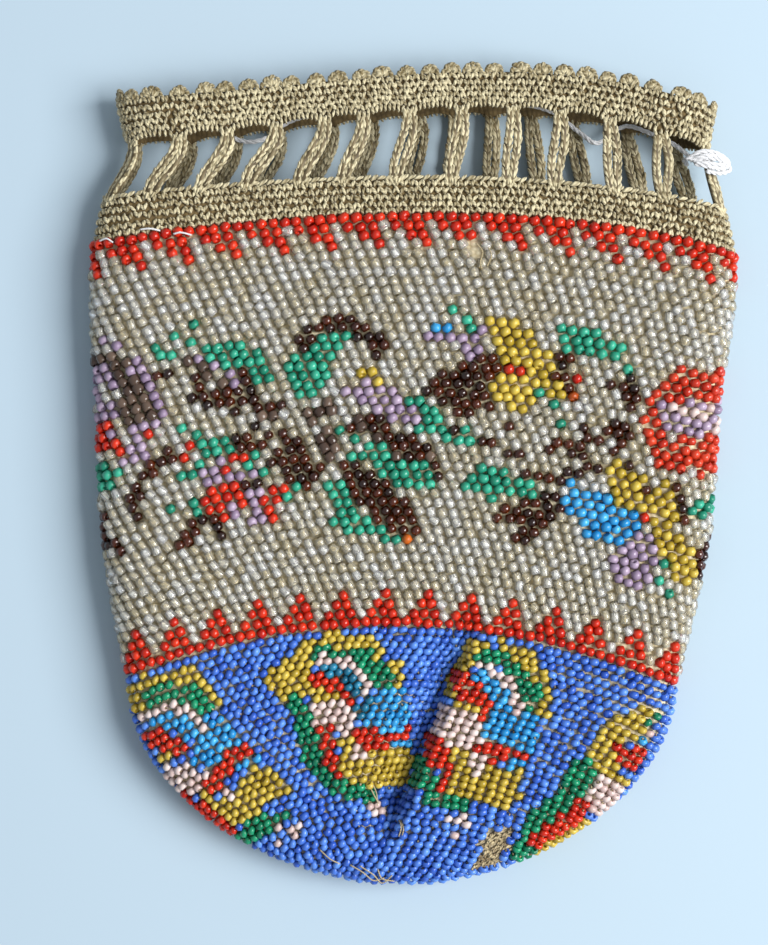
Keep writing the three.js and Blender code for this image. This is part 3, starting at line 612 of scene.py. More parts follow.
RIGHT_ROSE: tuple[Figure, ...] = (
    Patch(Tint.CORAL, ((47.4, 18.5), (57.6, 18.5), (57.8, 12.9), (45.0, 12.9), (44.0, 12.0), (43.6, 8.0),
        (45.6, 8.0), (46.0, 6.1), (57.4, 6.3), (57.2, 0.8), (54.4, -0.9), (50.2, -0.7), (49.8, 1.6),
        (48.2, 1.8), (48.0, -0.3), (44.1, -0.1), (43.7, 2.1), (41.7, 2.5), (41.2, 6.0), (40.6, 14.0),
        (43.0, 14.5), (44.2, 16.9))),
    Patch(Tint.LILAC, ((44.2, 12.9), (58.0, 12.9), (57.4, 6.3), (46.2, 6.2), (45.6, 8.2), (43.9, 8.2))),
    Dots(Tint.PINK, ((46.0, 12.4), (48.0, 10.2), (49.7, 10.1), (51.6, 9.8), (53.6, 11.8), (55.2, 10.0),
        (54.4, 8.0))),
    Line(Tint.BROWN, 2.1, ((47.4, -2.4), (47.6, -9.0))),
    Patch(Tint.TEAL, ((50.4, -4.5), (56.4, -4.7), (56.4, -8.5), (49.4, -8.1), (48.8, -6.6))),
    Patch(Tint.YELLOW, ((34.7, 2.5), (36.5, 2.3), (37.1, 0.5), (38.8, 0.3), (41.1, -0.9), (41.3, -2.8),
        (44.1, -3.6), (44.5, -1.8), (46.6, -1.8), (47.0, -8.0), (47.0, -11.4), (48.8, -12.6), (50.8, -14.8),
        (50.6, -17.2), (51.6, -19.4), (49.6, -20.4), (46.2, -19.0), (44.8, -17.4), (43.3, -15.0),
        (43.3, -11.0), (42.8, -8.8), (39.6, -7.3), (38.2, -6.7), (36.0, -6.4), (35.1, -3.6), (35.1, -0.8))),
    Dots(Tint.BROWN, ((39.3, 0.6), (41.9, -2.4))),
    Patch(Tint.SKY, ((27.2, -1.1), (29.7, -1.1), (29.9, -3.9), (35.6, -4.9), (36.0, -6.5), (38.6, -7.1),
        (40.2, -8.4), (40.2, -9.6), (41.8, -10.4), (41.7, -12.1), (38.6, -12.8), (37.0, -13.8),
        (33.6, -12.5), (29.5, -10.9), (29.5, -8.9), (27.4, -8.3), (27.2, -4.4))),
    Dots(Tint.RED, ((40.7, -9.1),)),
    Patch(Tint.LILAC, ((41.6, -10.4), (43.5, -10.0), (43.3, -19.8), (41.2, -20.0), (40.6, -20.9),
        (36.0, -20.2), (35.8, -18.7), (34.2, -18.1), (34.3, -15.3), (36.4, -13.8), (38.6, -12.9))),
    Dots(Tint.TEAL, ((44.4, -17.2), (44.4, -18.9), (45.8, -21.7))),
    Line(Tint.BROWN, 3.0, ((53.2, -13.4), (52.2, -18.4))),
)
FLOWER_BAND = LEFT_ROSE + SPRAY_FLOWER + RED_FLOWER + LILAC_LEAF + RIGHT_SPRAYS + YELLOW_FLOWER + RIGHT_ROSE

# The repeated motif of the blue base, as it lies in the folds of the front.
LEFT_MOTIF: tuple[Figure, ...] = (
    Line(Tint.YELLOW, 3.2, ((-49.0, -38.4), (-44.0, -37.4), (-40.2, -36.8))),
    Line(Tint.YELLOW, 2.0, ((-38.8, -36.9), (-37.0, -38.6), (-34.9, -41.8))),
    Line(Tint.YELLOW, 2.2, ((-51.2, -40.0), (-50.0, -42.4))),
    Patch(Tint.GREEN, ((-50.0, -40.0), (-46.6, -38.7), (-39.2, -37.8), (-37.3, -39.6), (-35.5, -42.2),
        (-37.7, -44.3), (-39.8, -42.8), (-41.8, -42.2), (-43.0, -40.6), (-48.0, -42.6))),
    Patch(Tint.SKY, ((-37.4, -43.9), (-33.4, -44.4), (-30.9, -48.6), (-33.0, -50.7), (-36.2, -51.9),
        (-37.8, -53.6), (-40.0, -51.8), (-39.6, -48.6), (-42.6, -48.0), (-43.4, -46.2), (-48.4, -46.4),
        (-48.0, -44.8), (-43.6, -43.6), (-40.6, -44.2), (-38.8, -46.2))),
    Line(Tint.PINK, 1.9, ((-49.2, -44.0), (-45.2, -42.8), (-43.0, -42.2), (-41.2, -43.0), (-39.4, -44.2),
        (-38.3, -45.8))),
    Patch(Tint.RED, ((-49.0, -47.4), (-44.2, -46.0), (-43.3, -47.8), (-40.0, -48.8), (-41.3, -51.7),
        (-43.0, -50.7), (-48.0, -50.4))),
    Line(Tint.YELLOW, 1.9, ((-46.0, -51.8), (-43.6, -51.3))),
    Patch(Tint.PINK, ((-45.6, -53.4), (-41.0, -51.6), (-38.8, -53.2), (-36.1, -53.6), (-37.3, -56.0),
        (-39.0, -57.7), (-41.6, -58.4), (-43.6, -56.8), (-45.2, -55.0))),
    Line(Tint.RED, 2.9, ((-30.6, -50.0), (-33.6, -52.0), (-35.0, -54.4), (-36.8, -56.2))),
    Line(Tint.SKY, 2.0, ((-30.8, -52.7), (-28.8, -51.6))),
    Patch(Tint.YELLOW, ((-28.0, -52.3), (-26.0, -54.1), (-24.2, -55.7), (-22.6, -57.2), (-25.2, -59.1),
        (-27.2, -60.1), (-29.4, -61.9), (-31.8, -64.0), (-34.0, -62.6), (-36.4, -60.4), (-39.4, -59.4),
        (-38.8, -57.9), (-36.2, -57.8), (-34.6, -59.2), (-31.8, -58.4), (-32.6, -56.0), (-31.2, -54.6),
        (-29.2, -53.5))),
    Patch(Tint.PINK, ((-36.2, -57.2), (-33.8, -55.9), (-31.6, -57.6), (-33.6, -59.4))),
    Line(Tint.RED, 2.4, ((-41.2, -59.0), (-38.6, -61.0), (-36.8, -62.4), (-35.0, -63.9), (-33.3, -64.8))),
    Patch(Tint.GREEN, ((-22.8, -60.7), (-25.6, -61.7), (-28.0, -61.8), (-30.2, -63.2), (-32.4, -65.6),
        (-30.2, -67.6), (-27.6, -65.8), (-25.4, -64.5), (-22.8, -62.8))),
    Dots(Tint.PINK, ((-24.3, -64.3), (-22.9, -65.0), (-21.6, -63.7), (-24.0, -66.3), (-21.5, -65.8))),
)
LEFT_MIDDLE_MOTIF: tuple[Figure, ...] = (
    Patch(Tint.YELLOW, ((-20.8, -30.3), (-18.0, -30.4), (-17.7, -34.6), (-20.0, -36.6), (-18.4, -38.6),
        (-14.0, -39.8), (-14.2, -41.5), (-17.0, -41.4), (-19.6, -41.0), (-23.9, -41.7), (-24.8, -39.2),
        (-27.0, -37.4), (-25.5, -34.9), (-23.5, -34.0), (-22.0, -32.1))),
    Patch(Tint.GREEN, ((-17.9, -30.4), (-13.8, -30.6), (-13.0, -31.9), (-8.0, -32.0), (-4.7, -33.8),
        (-3.9, -36.4), (-3.3, -39.0), (-7.5, -38.8), (-8.2, -36.6), (-10.4, -35.0), (-12.0, -33.5),
        (-18.2, -33.3))),
    Line(Tint.YELLOW, 2.9, ((-15.4, -29.7), (-12.4, -30.3), (-9.0, -30.5))),
    Line(Tint.YELLOW, 1.9, ((-7.3, -31.3), (-6.3, -32.8))),
    Line(Tint.YELLOW, 2.0, ((-3.6, -34.6), (-3.0, -36.4), (-2.6, -38.3))),
    Patch(Tint.PETROL, ((-17.3, -34.4), (-12.4, -34.6), (-10.9, -37.0), (-9.6, -38.0), (-9.6, -40.5),
        (-12.7, -40.3), (-12.7, -37.8), (-13.6, -36.6), (-17.1, -36.2))),
    Line(Tint.PINK, 1.9, ((-17.1, -33.7), (-13.0, -33.9), (-11.4, -34.4), (-10.6, -36.0), (-9.0, -37.2),
        (-8.3, -39.9))),
    Patch(Tint.RED, ((-20.6, -36.4), (-17.6, -36.1), (-13.2, -36.8), (-12.1, -39.6), (-10.0, -40.6),
        (-10.4, -42.2), (-13.5, -41.2), (-14.1, -39.6), (-17.0, -39.1), (-18.0, -37.9), (-20.2, -38.1))),
    Patch(Tint.PETROL, ((-10.8, -41.4), (-7.2, -40.8), (-7.0, -45.2), (-11.2, -45.2))),
    Patch(Tint.SKY, ((-7.3, -39.1), (-2.0, -39.3), (-1.4, -42.0), (-0.4, -46.1), (-4.0, -47.2),
        (-8.0, -45.8), (-9.2, -44.4), (-7.4, -42.0))),
    Patch(Tint.PINK, ((-19.0, -41.4), (-15.8, -42.0), (-13.8, -41.1), (-11.4, -41.7), (-11.0, -45.0),
        (-11.0, -46.8), (-13.4, -47.4), (-15.4, -45.7), (-18.4, -45.6))),
    Patch(Tint.RED, ((-12.0, -47.0), (-8.6, -45.7), (-4.4, -46.8), (-0.6, -46.3), (-0.6, -47.9),
        (-4.0, -48.4), (-4.5, -50.3), (-8.6, -49.9), (-10.9, -48.9))),
    Patch(Tint.SKY, ((-4.2, -48.4), (-1.2, -48.2), (-0.6, -50.1), (-3.2, -50.4))),
    Patch(Tint.YELLOW, ((-13.8, -47.7), (-11.6, -48.2), (-9.4, -50.0), (-5.2, -50.4), (-0.4, -50.6),
        (0.0, -53.4), (-0.7, -56.4), (-3.8, -57.4), (-5.8, -57.4), (-9.4, -56.3), (-11.8, -54.9),
        (-13.5, -54.1), (-13.7, -50.0))),
    Line(Tint.RED, 3.1, ((-16.4, -46.6), (-15.8, -49.4), (-15.0, -51.4), (-14.4, -54.3))),
    Dots(Tint.PINK, ((-10.7, -49.2), (-9.0, -50.2), (-10.3, -51.2), (-8.7, -51.7))),
    Line(Tint.GREEN, 3.7, ((-21.2, -42.0), (-20.0, -45.0), (-19.2, -48.0), (-18.8, -51.0), (-17.6, -53.2))),
    Line(Tint.GREEN, 3.1, ((-16.4, -54.6), (-15.8, -56.2), (-12.6, -56.7), (-9.6, -57.9), (-8.4, -58.7))),
    Dots(Tint.PINK, ((-8.0, -61.0), (-6.2, -60.8), (-5.7, -62.1), (-7.4, -62.4))),
)
RIGHT_MIDDLE_MOTIF: tuple[Figure, ...] = (
    Line(Tint.YELLOW, 2.0, ((12.8, -31.4), (10.2, -31.6), (9.2, -34.0), (8.8, -36.0), (7.0, -38.4),
        (6.2, -40.6))),
    Line(Tint.YELLOW, 2.9, ((15.8, -31.7), (18.4, -32.6), (20.4, -34.0), (22.0, -36.0))),
    Line(Tint.YELLOW, 2.0, ((22.0, -37.4), (23.6, -39.4), (23.3, -43.2))),
    Patch(Tint.GREEN, ((11.3, -33.0), (14.4, -31.6), (16.8, -33.0), (20.4, -35.8), (22.7, -38.2),
        (22.5, -42.8), (20.8, -43.0), (19.2, -41.6), (18.8, -38.6), (17.6, -36.8), (14.6, -34.9),
        (11.5, -34.2))),
    Patch(Tint.SKY, ((10.4, -35.9), (12.4, -35.8), (15.6, -38.4), (17.2, -40.2), (17.4, -42.8),
        (20.6, -42.6), (22.4, -43.4), (22.0, -49.0), (21.1, -50.4), (17.8, -49.6), (12.0, -48.4),
        (11.8, -45.4), (14.0, -44.0), (13.4, -41.0), (13.4, -39.0), (10.6, -38.0))),
    Line(Tint.PINK, 1.9, ((11.8, -34.8), (14.0, -36.0), (16.4, -37.5), (18.0, -39.1), (18.2, -42.5))),
    Patch(Tint.RED, ((7.1, -36.1), (9.4, -36.7), (11.4, -37.7), (13.9, -39.4), (13.5, -42.4), (14.3, -44.4),
        (12.0, -44.5), (9.6, -41.7), (7.5, -40.0), (7.3, -38.0))),
    Line(Tint.YELLOW, 2.1, ((7.6, -41.6), (10.4, -42.4))),
    Patch(Tint.PINK, ((5.0, -41.5), (7.0, -42.9), (11.0, -43.6), (12.0, -45.4), (11.6, -48.0),
        (12.7, -48.9), (9.8, -50.0), (6.4, -49.0), (4.0, -48.1), (3.2, -46.4), (4.6, -44.6))),
    Patch(Tint.RED, ((9.9, -49.1), (13.6, -48.7), (18.0, -49.8), (20.9, -50.8), (20.4, -52.0),
        (16.6, -52.3), (14.0, -52.5), (10.6, -50.7))),
    Patch(Tint.YELLOW, ((6.8, -49.2), (9.4, -50.0), (9.8, -51.6), (12.2, -53.6), (14.4, -52.4),
        (16.8, -53.2), (20.0, -53.6), (19.0, -57.4), (18.0, -60.6), (15.4, -60.8), (11.0, -59.2),
        (7.8, -58.1), (5.0, -57.7), (6.2, -53.0))),
    Patch(Tint.RED, ((2.4, -47.6), (4.6, -48.0), (6.9, -49.2), (6.5, -53.0), (5.5, -57.4), (3.8, -57.4),
        (4.4, -53.4), (2.5, -53.1), (2.1, -50.0))),
    Patch(Tint.PINK, ((9.2, -50.7), (12.8, -51.7), (12.2, -54.6), (9.0, -53.5))),
    Patch(Tint.SKY, ((16.2, -51.9), (20.4, -51.8), (20.2, -53.9), (16.6, -53.3))),
    Patch(Tint.GREEN, ((0.7, -51.9), (2.4, -52.0), (3.8, -53.8), (3.6, -57.2), (5.6, -58.1), (9.7, -59.1),
        (9.5, -61.1), (5.0, -60.5), (1.6, -59.5), (1.3, -57.4), (-0.3, -56.6), (0.1, -53.4))),
    Dots(Tint.PINK, ((8.2, -61.9), (6.1, -62.6), (7.5, -63.2), (9.2, -63.7), (7.1, -64.7))),
)
RIGHT_MOTIF: tuple[Figure, ...] = (
    Patch(Tint.YELLOW, ((41.2, -42.1), (44.2, -43.4), (43.6, -45.2), (41.0, -46.2), (40.7, -49.0),
        (38.0, -48.7), (36.4, -49.4), (36.4, -51.8), (37.2, -54.4), (40.0, -55.6), (38.6, -57.0),
        (35.2, -55.2), (32.5, -54.4), (30.5, -52.0), (31.1, -49.6), (32.3, -46.5), (35.0, -44.5),
        (38.4, -42.9))),
    Patch(Tint.RED, ((35.7, -48.7), (38.0, -48.9), (42.4, -51.0), (41.6, -52.6), (40.0, -54.8),
        (36.5, -53.5), (36.7, -51.0))),
    Dots(Tint.GREEN, ((42.4, -46.1), (43.7, -44.5))),
    Dots(Tint.PINK, ((42.1, -47.6),)),
    Dots(Tint.SKY, ((41.3, -49.4),)),
    Line(Tint.GREEN, 4.2, ((30.4, -53.6), (28.6, -57.0), (25.6, -60.0), (22.8, -62.4), (20.6, -65.4),
        (19.4, -68.8))),
    Patch(Tint.PINK, ((32.0, -55.0), (35.6, -54.7), (38.4, -56.8), (36.6, -59.6), (34.4, -62.0),
        (31.4, -61.8), (29.6, -59.2), (31.0, -57.2))),
    Line(Tint.RED, 3.6, ((29.6, -60.8), (28.2, -62.4), (25.4, -64.6), (22.6, -66.6))),
    Line(Tint.YELLOW, 2.4, ((31.4, -64.0), (28.8, -65.7), (26.0, -67.2), (23.2, -68.6))),
)
BASE_BAND = LEFT_MOTIF + LEFT_MIDDLE_MOTIF + RIGHT_MIDDLE_MOTIF + RIGHT_MOTIF

# Places where beads have been lost, on the front alone.
WORN_SPOTS: tuple[Figure, ...] = (
    Dots(Tint.NONE, ((11.3, 40.2), (12.2, 38.6))),
    Patch(Tint.NONE, ((12.2, -65.6), (15.4, -64.2), (17.7, -63.3), (17.2, -65.6), (17.6, -67.9),
        (16.4, -68.2), (15.6, -71.3), (13.8, -71.5), (10.6, -72.6), (10.6, -71.1), (12.0, -69.5),
        (11.7, -67.7))),
)
BALD_PATCH = WORN_SPOTS[1]


@dataclass(frozen=True)
class Finish:
    """The looks of one real material, whose colour runs from a dark to a light shade."""

    name: str
    dark: str
    light: str

    def material(self) -> bpy.types.Material:
        """The material, made once for all the pieces that share it.

        Returns:
            The material.
        """
        known = bpy.data.materials.get(self.name)
        if known:
            return known
        material = bpy.data.materials.new(self.name)
        material.use_nodes = True
        tree = material.node_tree
        shader = tree.nodes["Principled BSDF"]
        shade = add_node(tree, "ShaderNodeMix", {"data_type": "RGBA"},
                         {0: self.dress(tree, shader), 6: linear(self.dark), 7: linear(self.light)})
        tree.links.new(shade.outputs[2], shader.inputs["Base Color"])
        return material

    def dress(self, tree: bpy.types.NodeTree, shader: bpy.types.Node) -> bpy.types.NodeSocket:
        """Sets the surface.

        Args:
            tree: The material's nodes.
            shader: Its surface shader.
        Returns:
            The socket that says how light the shade is, from 0 to 1.
        """
        raise NotImplementedError


@dataclass(frozen=True)
class GlassFinish(Finish):
    """Glass seed beads: a rounded one shows a bright point of light, a straight drawn one a stroke.

    The shade differs from bead to bead, as lots of glass do.
    """

    roughness: float = 0.16
    transmission: float = 0.0
    ior: float = 1.5
    drawn: bool = False

    def dress(self, tree: bpy.types.NodeTree, shader: bpy.types.Node) -> bpy.types.NodeSocket:
        """Makes the glass smooth, and clear by its share.

        Args:
            tree: The material's nodes.
            shader: Its surface shader.
        Returns:
            The socket that says how light the shade is.
        """
        shader.inputs["Roughness"].default_value = self.roughness
        shader.inputs["IOR"].default_value = self.ior
        shader.inputs["Transmission Weight"].default_value = self.transmission
        return add_node(tree, "ShaderNodeAttribute", {"attribute_name": "tone"}).outputs["Fac"]


@dataclass(frozen=True)
class ThreadFinish(Finish):
    """Twisted thread: soft sheen on the plies, with the colour painted lighter on the plies and darker in the
    furrows between them as painted light and shade.
    """

    twists: float
    bump_mm: float
    sheen: float
    roughness: float = 0.62
    plies: int = 2
    # How far the colour is painted darker in the furrows and lighter on the plies, as painted shade and
    # light.
    furrow: float = 0.22
    bump_share: float = 0.6

    def dress(self, tree: bpy.types.NodeTree, shader: bpy.types.Node) -> bpy.types.NodeSocket:
        """Winds the plies round the strand's own UV map.

        Args:
            tree: The material's nodes.
            shader: Its surface shader.
        Returns:
            The socket that says how light the shade is.
        """
        place = add_node(tree, "ShaderNodeTexCoord")
        split = add_node(tree, "ShaderNodeSeparateXYZ", None, {0: place.outputs["UV"]})
        along = add_node(tree, "ShaderNodeMath", {"operation": "MULTIPLY"},
                         {0: split.outputs["Y"], 1: self.twists})
        wound = add_node(tree, "ShaderNodeMath", {"operation": "ADD"},
                         {0: along.outputs[0], 1: split.outputs["X"]})
        angle = add_node(tree, "ShaderNodeMath", {"operation": "MULTIPLY"},
                         {0: wound.outputs[0], 1: self.plies * math.tau})
        ply = add_node(tree, "ShaderNodeMath", {"operation": "SINE"}, {0: angle.outputs[0]})
        relief = {"Strength": self.bump_share, "Distance": self.bump_mm * MM, "Height": ply.outputs[0]}
        bump = add_node(tree, "ShaderNodeBump", None, relief)
        tree.links.new(bump.outputs[0], shader.inputs["Normal"])
        shader.inputs["Roughness"].default_value = self.roughness
        shader.inputs["Sheen Weight"].default_value = self.sheen
        tone = add_node(tree, "ShaderNodeAttribute", {"attribute_name": "tone"})
        # Painted light and shade: the ply wave lifts the colour on the plies and lowers it in the furrows.
        lift = add_node(tree, "ShaderNodeMapRange", None,
                        {0: ply.outputs[0], 1: -1.0, 2: 1.0, 3: -self.furrow, 4: self.furrow})
        mixed = add_node(tree, "ShaderNodeMath", {"operation": "ADD", "use_clamp": True},
                         {0: tone.outputs["Fac"], 1: lift.outputs[0]})
        return mixed.outputs[0]


@dataclass(frozen=True)
class ClothFinish(Finish):
    """Close crochet seen as a surface: rows of slanting stitches in dull thread, painted lighter on the
    stitches and darker in the hollows as painted light and shade.
    """

    stitch_mm: float
    row_mm: float
    bump_mm: float
    roughness: float = 0.85
    unevenness: float = 0.45
    stitch_height: float = 0.9
    bump_share: float = 0.8

    def dress(self, tree: bpy.types.NodeTree, shader: bpy.types.Node) -> bpy.types.NodeSocket:
        """Lays rows of stitches on the UV map, which is in millimetres along and down the bag.

        Args:
            tree: The material's nodes.
            shader: Its surface shader.
        Returns:
            The socket that says how light the shade is.
        """
        place = add_node(tree, "ShaderNodeTexCoord")
        size = (1 / self.stitch_mm, 1 / self.row_mm, 1.0)
        grid = add_node(tree, "ShaderNodeMapping", None, {"Vector": place.outputs["UV"], "Scale": size})
        cells = add_node(tree, "ShaderNodeTexVoronoi", {"voronoi_dimensions": "2D"},
                         {"Vector": grid.outputs[0], "Scale": 1.0, "Randomness": self.unevenness})
        height = add_node(tree, "ShaderNodeMath", {"operation": "SUBTRACT", "use_clamp": True},
                          {0: self.stitch_height, 1: cells.outputs["Distance"]})
        relief = {"Strength": self.bump_share, "Distance": self.bump_mm * MM, "Height": height.outputs[0]}
        bump = add_node(tree, "ShaderNodeBump", None, relief)
        tree.links.new(bump.outputs[0], shader.inputs["Normal"])
        shader.inputs["Roughness"].default_value = self.roughness
        # Painted light and shade: the colour follows the stitch height, lighter on the stitches and darker in
        # the hollows.
        return height.outputs[0]


GLASS: dict[Tint, GlassFinish] = {
    # Clear glass drawn to a tube and cut: a white stroke of light over the thread inside.
    Tint.CLEAR: GlassFinish("clear_drawn_glass", "#F2EAD2", "#FFFFFF", 0.06, 0.8, 1.58, True),
    # Opaque glass, tumbled smooth: full, even colours with one soft point of light on each bead.
    Tint.RED: GlassFinish("opaque_red_glass", "#B41C0C", "#D63418"),
    Tint.CORAL: GlassFinish("opaque_coral_red_glass", "#B52A16", "#D24226"),
    Tint.TEAL: GlassFinish("opaque_teal_glass", "#1C7C62", "#3CAC8C"),
    Tint.GREEN: GlassFinish("opaque_bottle_green_glass", "#0C6B4C", "#1E9468"),
    Tint.LILAC: GlassFinish("opaque_lilac_glass", "#8C7892", "#B09CB2", 0.2),
    # Half-clear glass: dull brown with a thin stroke of light.
    Tint.TAUPE: GlassFinish("taupe_glass", "#4A372E", "#826C5C", 0.1, 0.3, 1.55, True),
    # Dark amber glass: nearly black, with brown depths and a sharp white spark.
    Tint.BROWN: GlassFinish("dark_amber_glass", "#2A0E04", "#6A2A08", 0.05, 0.5, 1.68),
    # Opaque glass again, in the paler colours a little satin from wear.
    Tint.ORANGE: GlassFinish("amber_orange_glass", "#9A3D0C", "#C2611C", 0.1),
    Tint.YELLOW: GlassFinish("opaque_yellow_glass", "#A88E2A", "#D0B64C", 0.22),
    Tint.SKY: GlassFinish("opaque_sky_blue_glass", "#2084C2", "#4AACE2", 0.18),
    Tint.PETROL: GlassFinish("petrol_blue_glass", "#125873", "#2C83A5", 0.18),
    Tint.BLUE: GlassFinish("opaque_periwinkle_glass", "#3058BA", "#5E90E4", 0.2),
    Tint.PINK: GlassFinish("opaque_pale_pink_glass", "#C2A6A0", "#E2D0CA", 0.22),
}
# Twisted silk: cream on the plies and brown in the furrows as painted light and shade, with a slight sheen.
SILK = ThreadFinish("twisted_tan_silk", "#6E5E36", "#D8CCA6", 1.2, 0.12, 0.25)
# Linen-like ground thread: duller and browner than the silk.
GROUND_THREAD = ThreadFinish("tan_ground_thread", "#6E5A3A", "#C8B68C", 1.2, 0.1, 0.15)
# Painted shade: the silk inside the chains, coloured darker than the outer silk because it lies in shade.
PAINTED_SHADE_INNER_SILK = ThreadFinish("loosely_twisted_silk_painted_shade", "#4E4026", "#A2906A", 0.12, 0.1, 0.1)
# Painted light: thread inside the clear beads, coloured near white to stand in for the light that the glass
# brings onto it.
PAINTED_LIGHT_CORE_THREAD = ThreadFinish("bead_thread_painted_light", "#D2C49C", "#FFFFF6", 2.0, 0.05, 0.1)
# White cotton cord: matt, with fine furrows painted dark as shade.
COTTON = ThreadFinish("white_twisted_cotton", "#E2E0E8", "#FFFFFF", 6.0, 0.1, 0.2, 0.75)
# Close crochet under the beads: stitches painted pale as light, made paler still to stand in for the light
# that passes through the clear glass, and hollows painted tan as shade.
GROUND_CLOTH = ClothFinish("close_crocheted_ground", "#AC986C", "#F2E6C6", 1.1, 0.85, 0.3)
# Painted shade: close crochet behind the bands, coloured dark brown and seen only between stitches, where
# shade falls.
PAINTED_SHADE_BAND_CLOTH = ClothFinish("band_backing_painted_shade", "#4C3C22", "#836E45", 1.0, 1.4, 0.3)


def mesh_of(bm: bmesh.types.BMesh, name: str) -> bpy.types.Mesh:
    """Turns a finished bmesh, which is used up, into a mesh.

    Args:
        bm: The bmesh.
        name: The mesh's name.
    Returns:
        The new mesh.
    """
    mesh = bpy.data.meshes.new(name)
    bm.to_mesh(mesh)
    bm.free()
    return mesh


def settle(bm: bmesh.types.BMesh, name: str, material: bpy.types.Material,
           replaces: tuple[str, ...] = (), tones: np.ndarray | None = None) -> bpy.types.Object:
    """Turns a finished mesh, in metres and in place, into a piece of the bag.

    Args:
        bm: The mesh, which is used up.
        name: The piece's name.
        material: Its finish.
        replaces: CAD nodes that it stands for.
        tones: A shade from 0 to 1 for each vertex.
    Returns:
        The new object.
    """
    mesh = mesh_of(bm, name)
    mesh.shade_smooth()
    mesh.materials.append(material)
    if tones is not None:
        mesh.attributes.new("tone", "FLOAT", "POINT").data.foreach_set("value", tones.astype(np.float32))
    piece = bpy.data.objects.new(name, mesh)
    bpy.context.scene.collection.objects.link(piece)
    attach(piece, BODY)
    if replaces:
        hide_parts(*replaces)
    LOG.info("%s: %d faces", name, len(mesh.polygons))
    return piece


def matrix_of(place: np.ndarray, x_axis: np.ndarray, y_axis: np.ndarray, z_axis: np.ndarray) -> Matrix:
    """The transform, in metres, that lays a unit shape along three scaled axes at a place.

    Args:
        place: Where the shape goes.
        x_axis: Half its size along X.
        y_axis: Half its size along Y.
        z_axis: Half its size along Z.
    Returns:
        The transform.
    """
    columns = [axis * MM for axis in (x_axis, y_axis, z_axis, place)]
    rows = [[float(column[row]) for column in columns] for row in range(3)]
    return Matrix((*rows, (0.0, 0.0, 0.0, 1.0)))


def spin_about(axis: np.ndarray, vector: np.ndarray, angle: float) -> np.ndarray:
    """Turns a vector about a unit axis."""
    return (vector * math.cos(angle) + np.cross(axis, vector) * math.sin(angle)
            + axis * (axis @ vector) * (1 - math.cos(angle)))


class Sowing:
    """Gathers many copies of one small shape into one mesh, with a shade for each copy."""

    def __init__(self, shape: bpy.types.Mesh) -> None:
        """Starts with no copies of the shape.

        Args:
            shape: The shape.
        """
        self.shape = shape
        self.mesh = bmesh.new()
        self.tones: list[float] = []

    def add(self, placed: Matrix, tone: float) -> None:
        """Lays one copy.

        Args:
            placed: Its transform.
            tone: Its shade from 0 to 1.
        """
        copy = self.shape.copy()
        copy.transform(placed)
        self.mesh.from_mesh(copy)
        bpy.data.meshes.remove(copy)
        self.tones.append(tone)

    def settle(self, name: str, material: bpy.types.Material, slot: str,
               replaces: tuple[str, ...] = ()) -> bpy.types.Object:
        """Makes the piece of all the copies."""
        tones = np.repeat(np.array(self.tones), len(self.shape.vertices))
        return settle(self.mesh, name, material, replaces, tones)


def bead_shape(section: tuple[Point, ...], segments: int) -> bpy.types.Mesh:
    """A seed bead of radius and half length 1 with its hole along Z, spun from half its section.

    Args:
        section: Radius and height of the corners of the half section, from one end of the hole round to it.
        segments: Steps of the spin.
    Returns:
        The bead's mesh.
    """
    bm = bmesh.new()
    ring = [bm.verts.new((radius, 0.0, height)) for radius, height in section]
    for start, end in zip(ring, ring[1:] + ring[:1]):
        bm.edges.new((start, end))
    bmesh.ops.spin(bm, geom=bm.verts[:] + bm.edges[:], cent=(0, 0, 0), axis=(0, 0, 1), angle=math.tau,
                   steps=segments, use_merge=True)
    bmesh.ops.remove_doubles(bm, verts=bm.verts[:], dist=UNIT_SEAM)
    bmesh.ops.recalc_face_normals(bm, faces=bm.faces[:])
    return mesh_of(bm, "bead_shape")


def stitch_shape() -> bpy.types.Mesh:
    """One leg of a stitch, a unit leaf along Y that is thick in its middle and drawn in at its ends.

    Returns:
        The leg's mesh.
    """
    bm = bmesh.new()
    bm.loops.layers.uv.new("UVMap")
    bmesh.ops.create_uvsphere(bm, u_segments=LEG_SIDES, v_segments=LEG_RINGS, radius=1.0, calc_uvs=True)
    bmesh.ops.rotate(bm, verts=bm.verts[:], cent=(0, 0, 0), matrix=Matrix.Rotation(-math.pi / 2, 3, "X"))
    bmesh.ops.recalc_face_normals(bm, faces=bm.faces[:])
    return mesh_of(bm, "stitch_shape")


def core_shape() -> bpy.types.Mesh:
    """A short run of thread along Z, of radius and half length 1.

    Returns:
        The thread's mesh.
    """
    bm = bmesh.new()
    bm.loops.layers.uv.new("UVMap")
    bmesh.ops.create_cone(bm, cap_ends=True, segments=CORE_SIDES, radius1=1.0, radius2=1.0, depth=2.0,
                          calc_uvs=True)
    return mesh_of(bm, "core_shape")


# A direction that no strand sets out along, from which its first side is taken.
STRAND_START = (0.31, 0.22, 0.92)


def smooth_route(points: list[Place], steps: int) -> np.ndarray:
    """A smooth run through all the points.

    Args:
        points: The points to pass, in millimetres.
        steps: Steps from each point to the next.
    Returns:
        One row for each place along the run.
    """
    knots = np.arange(len(points), dtype=float)
    at = np.linspace(0, knots[-1], steps * (len(points) - 1) + 1)
    return np.stack([Spline([*zip(knots, axis)])(at) for axis in np.array(points, dtype=float).T], axis=-1)


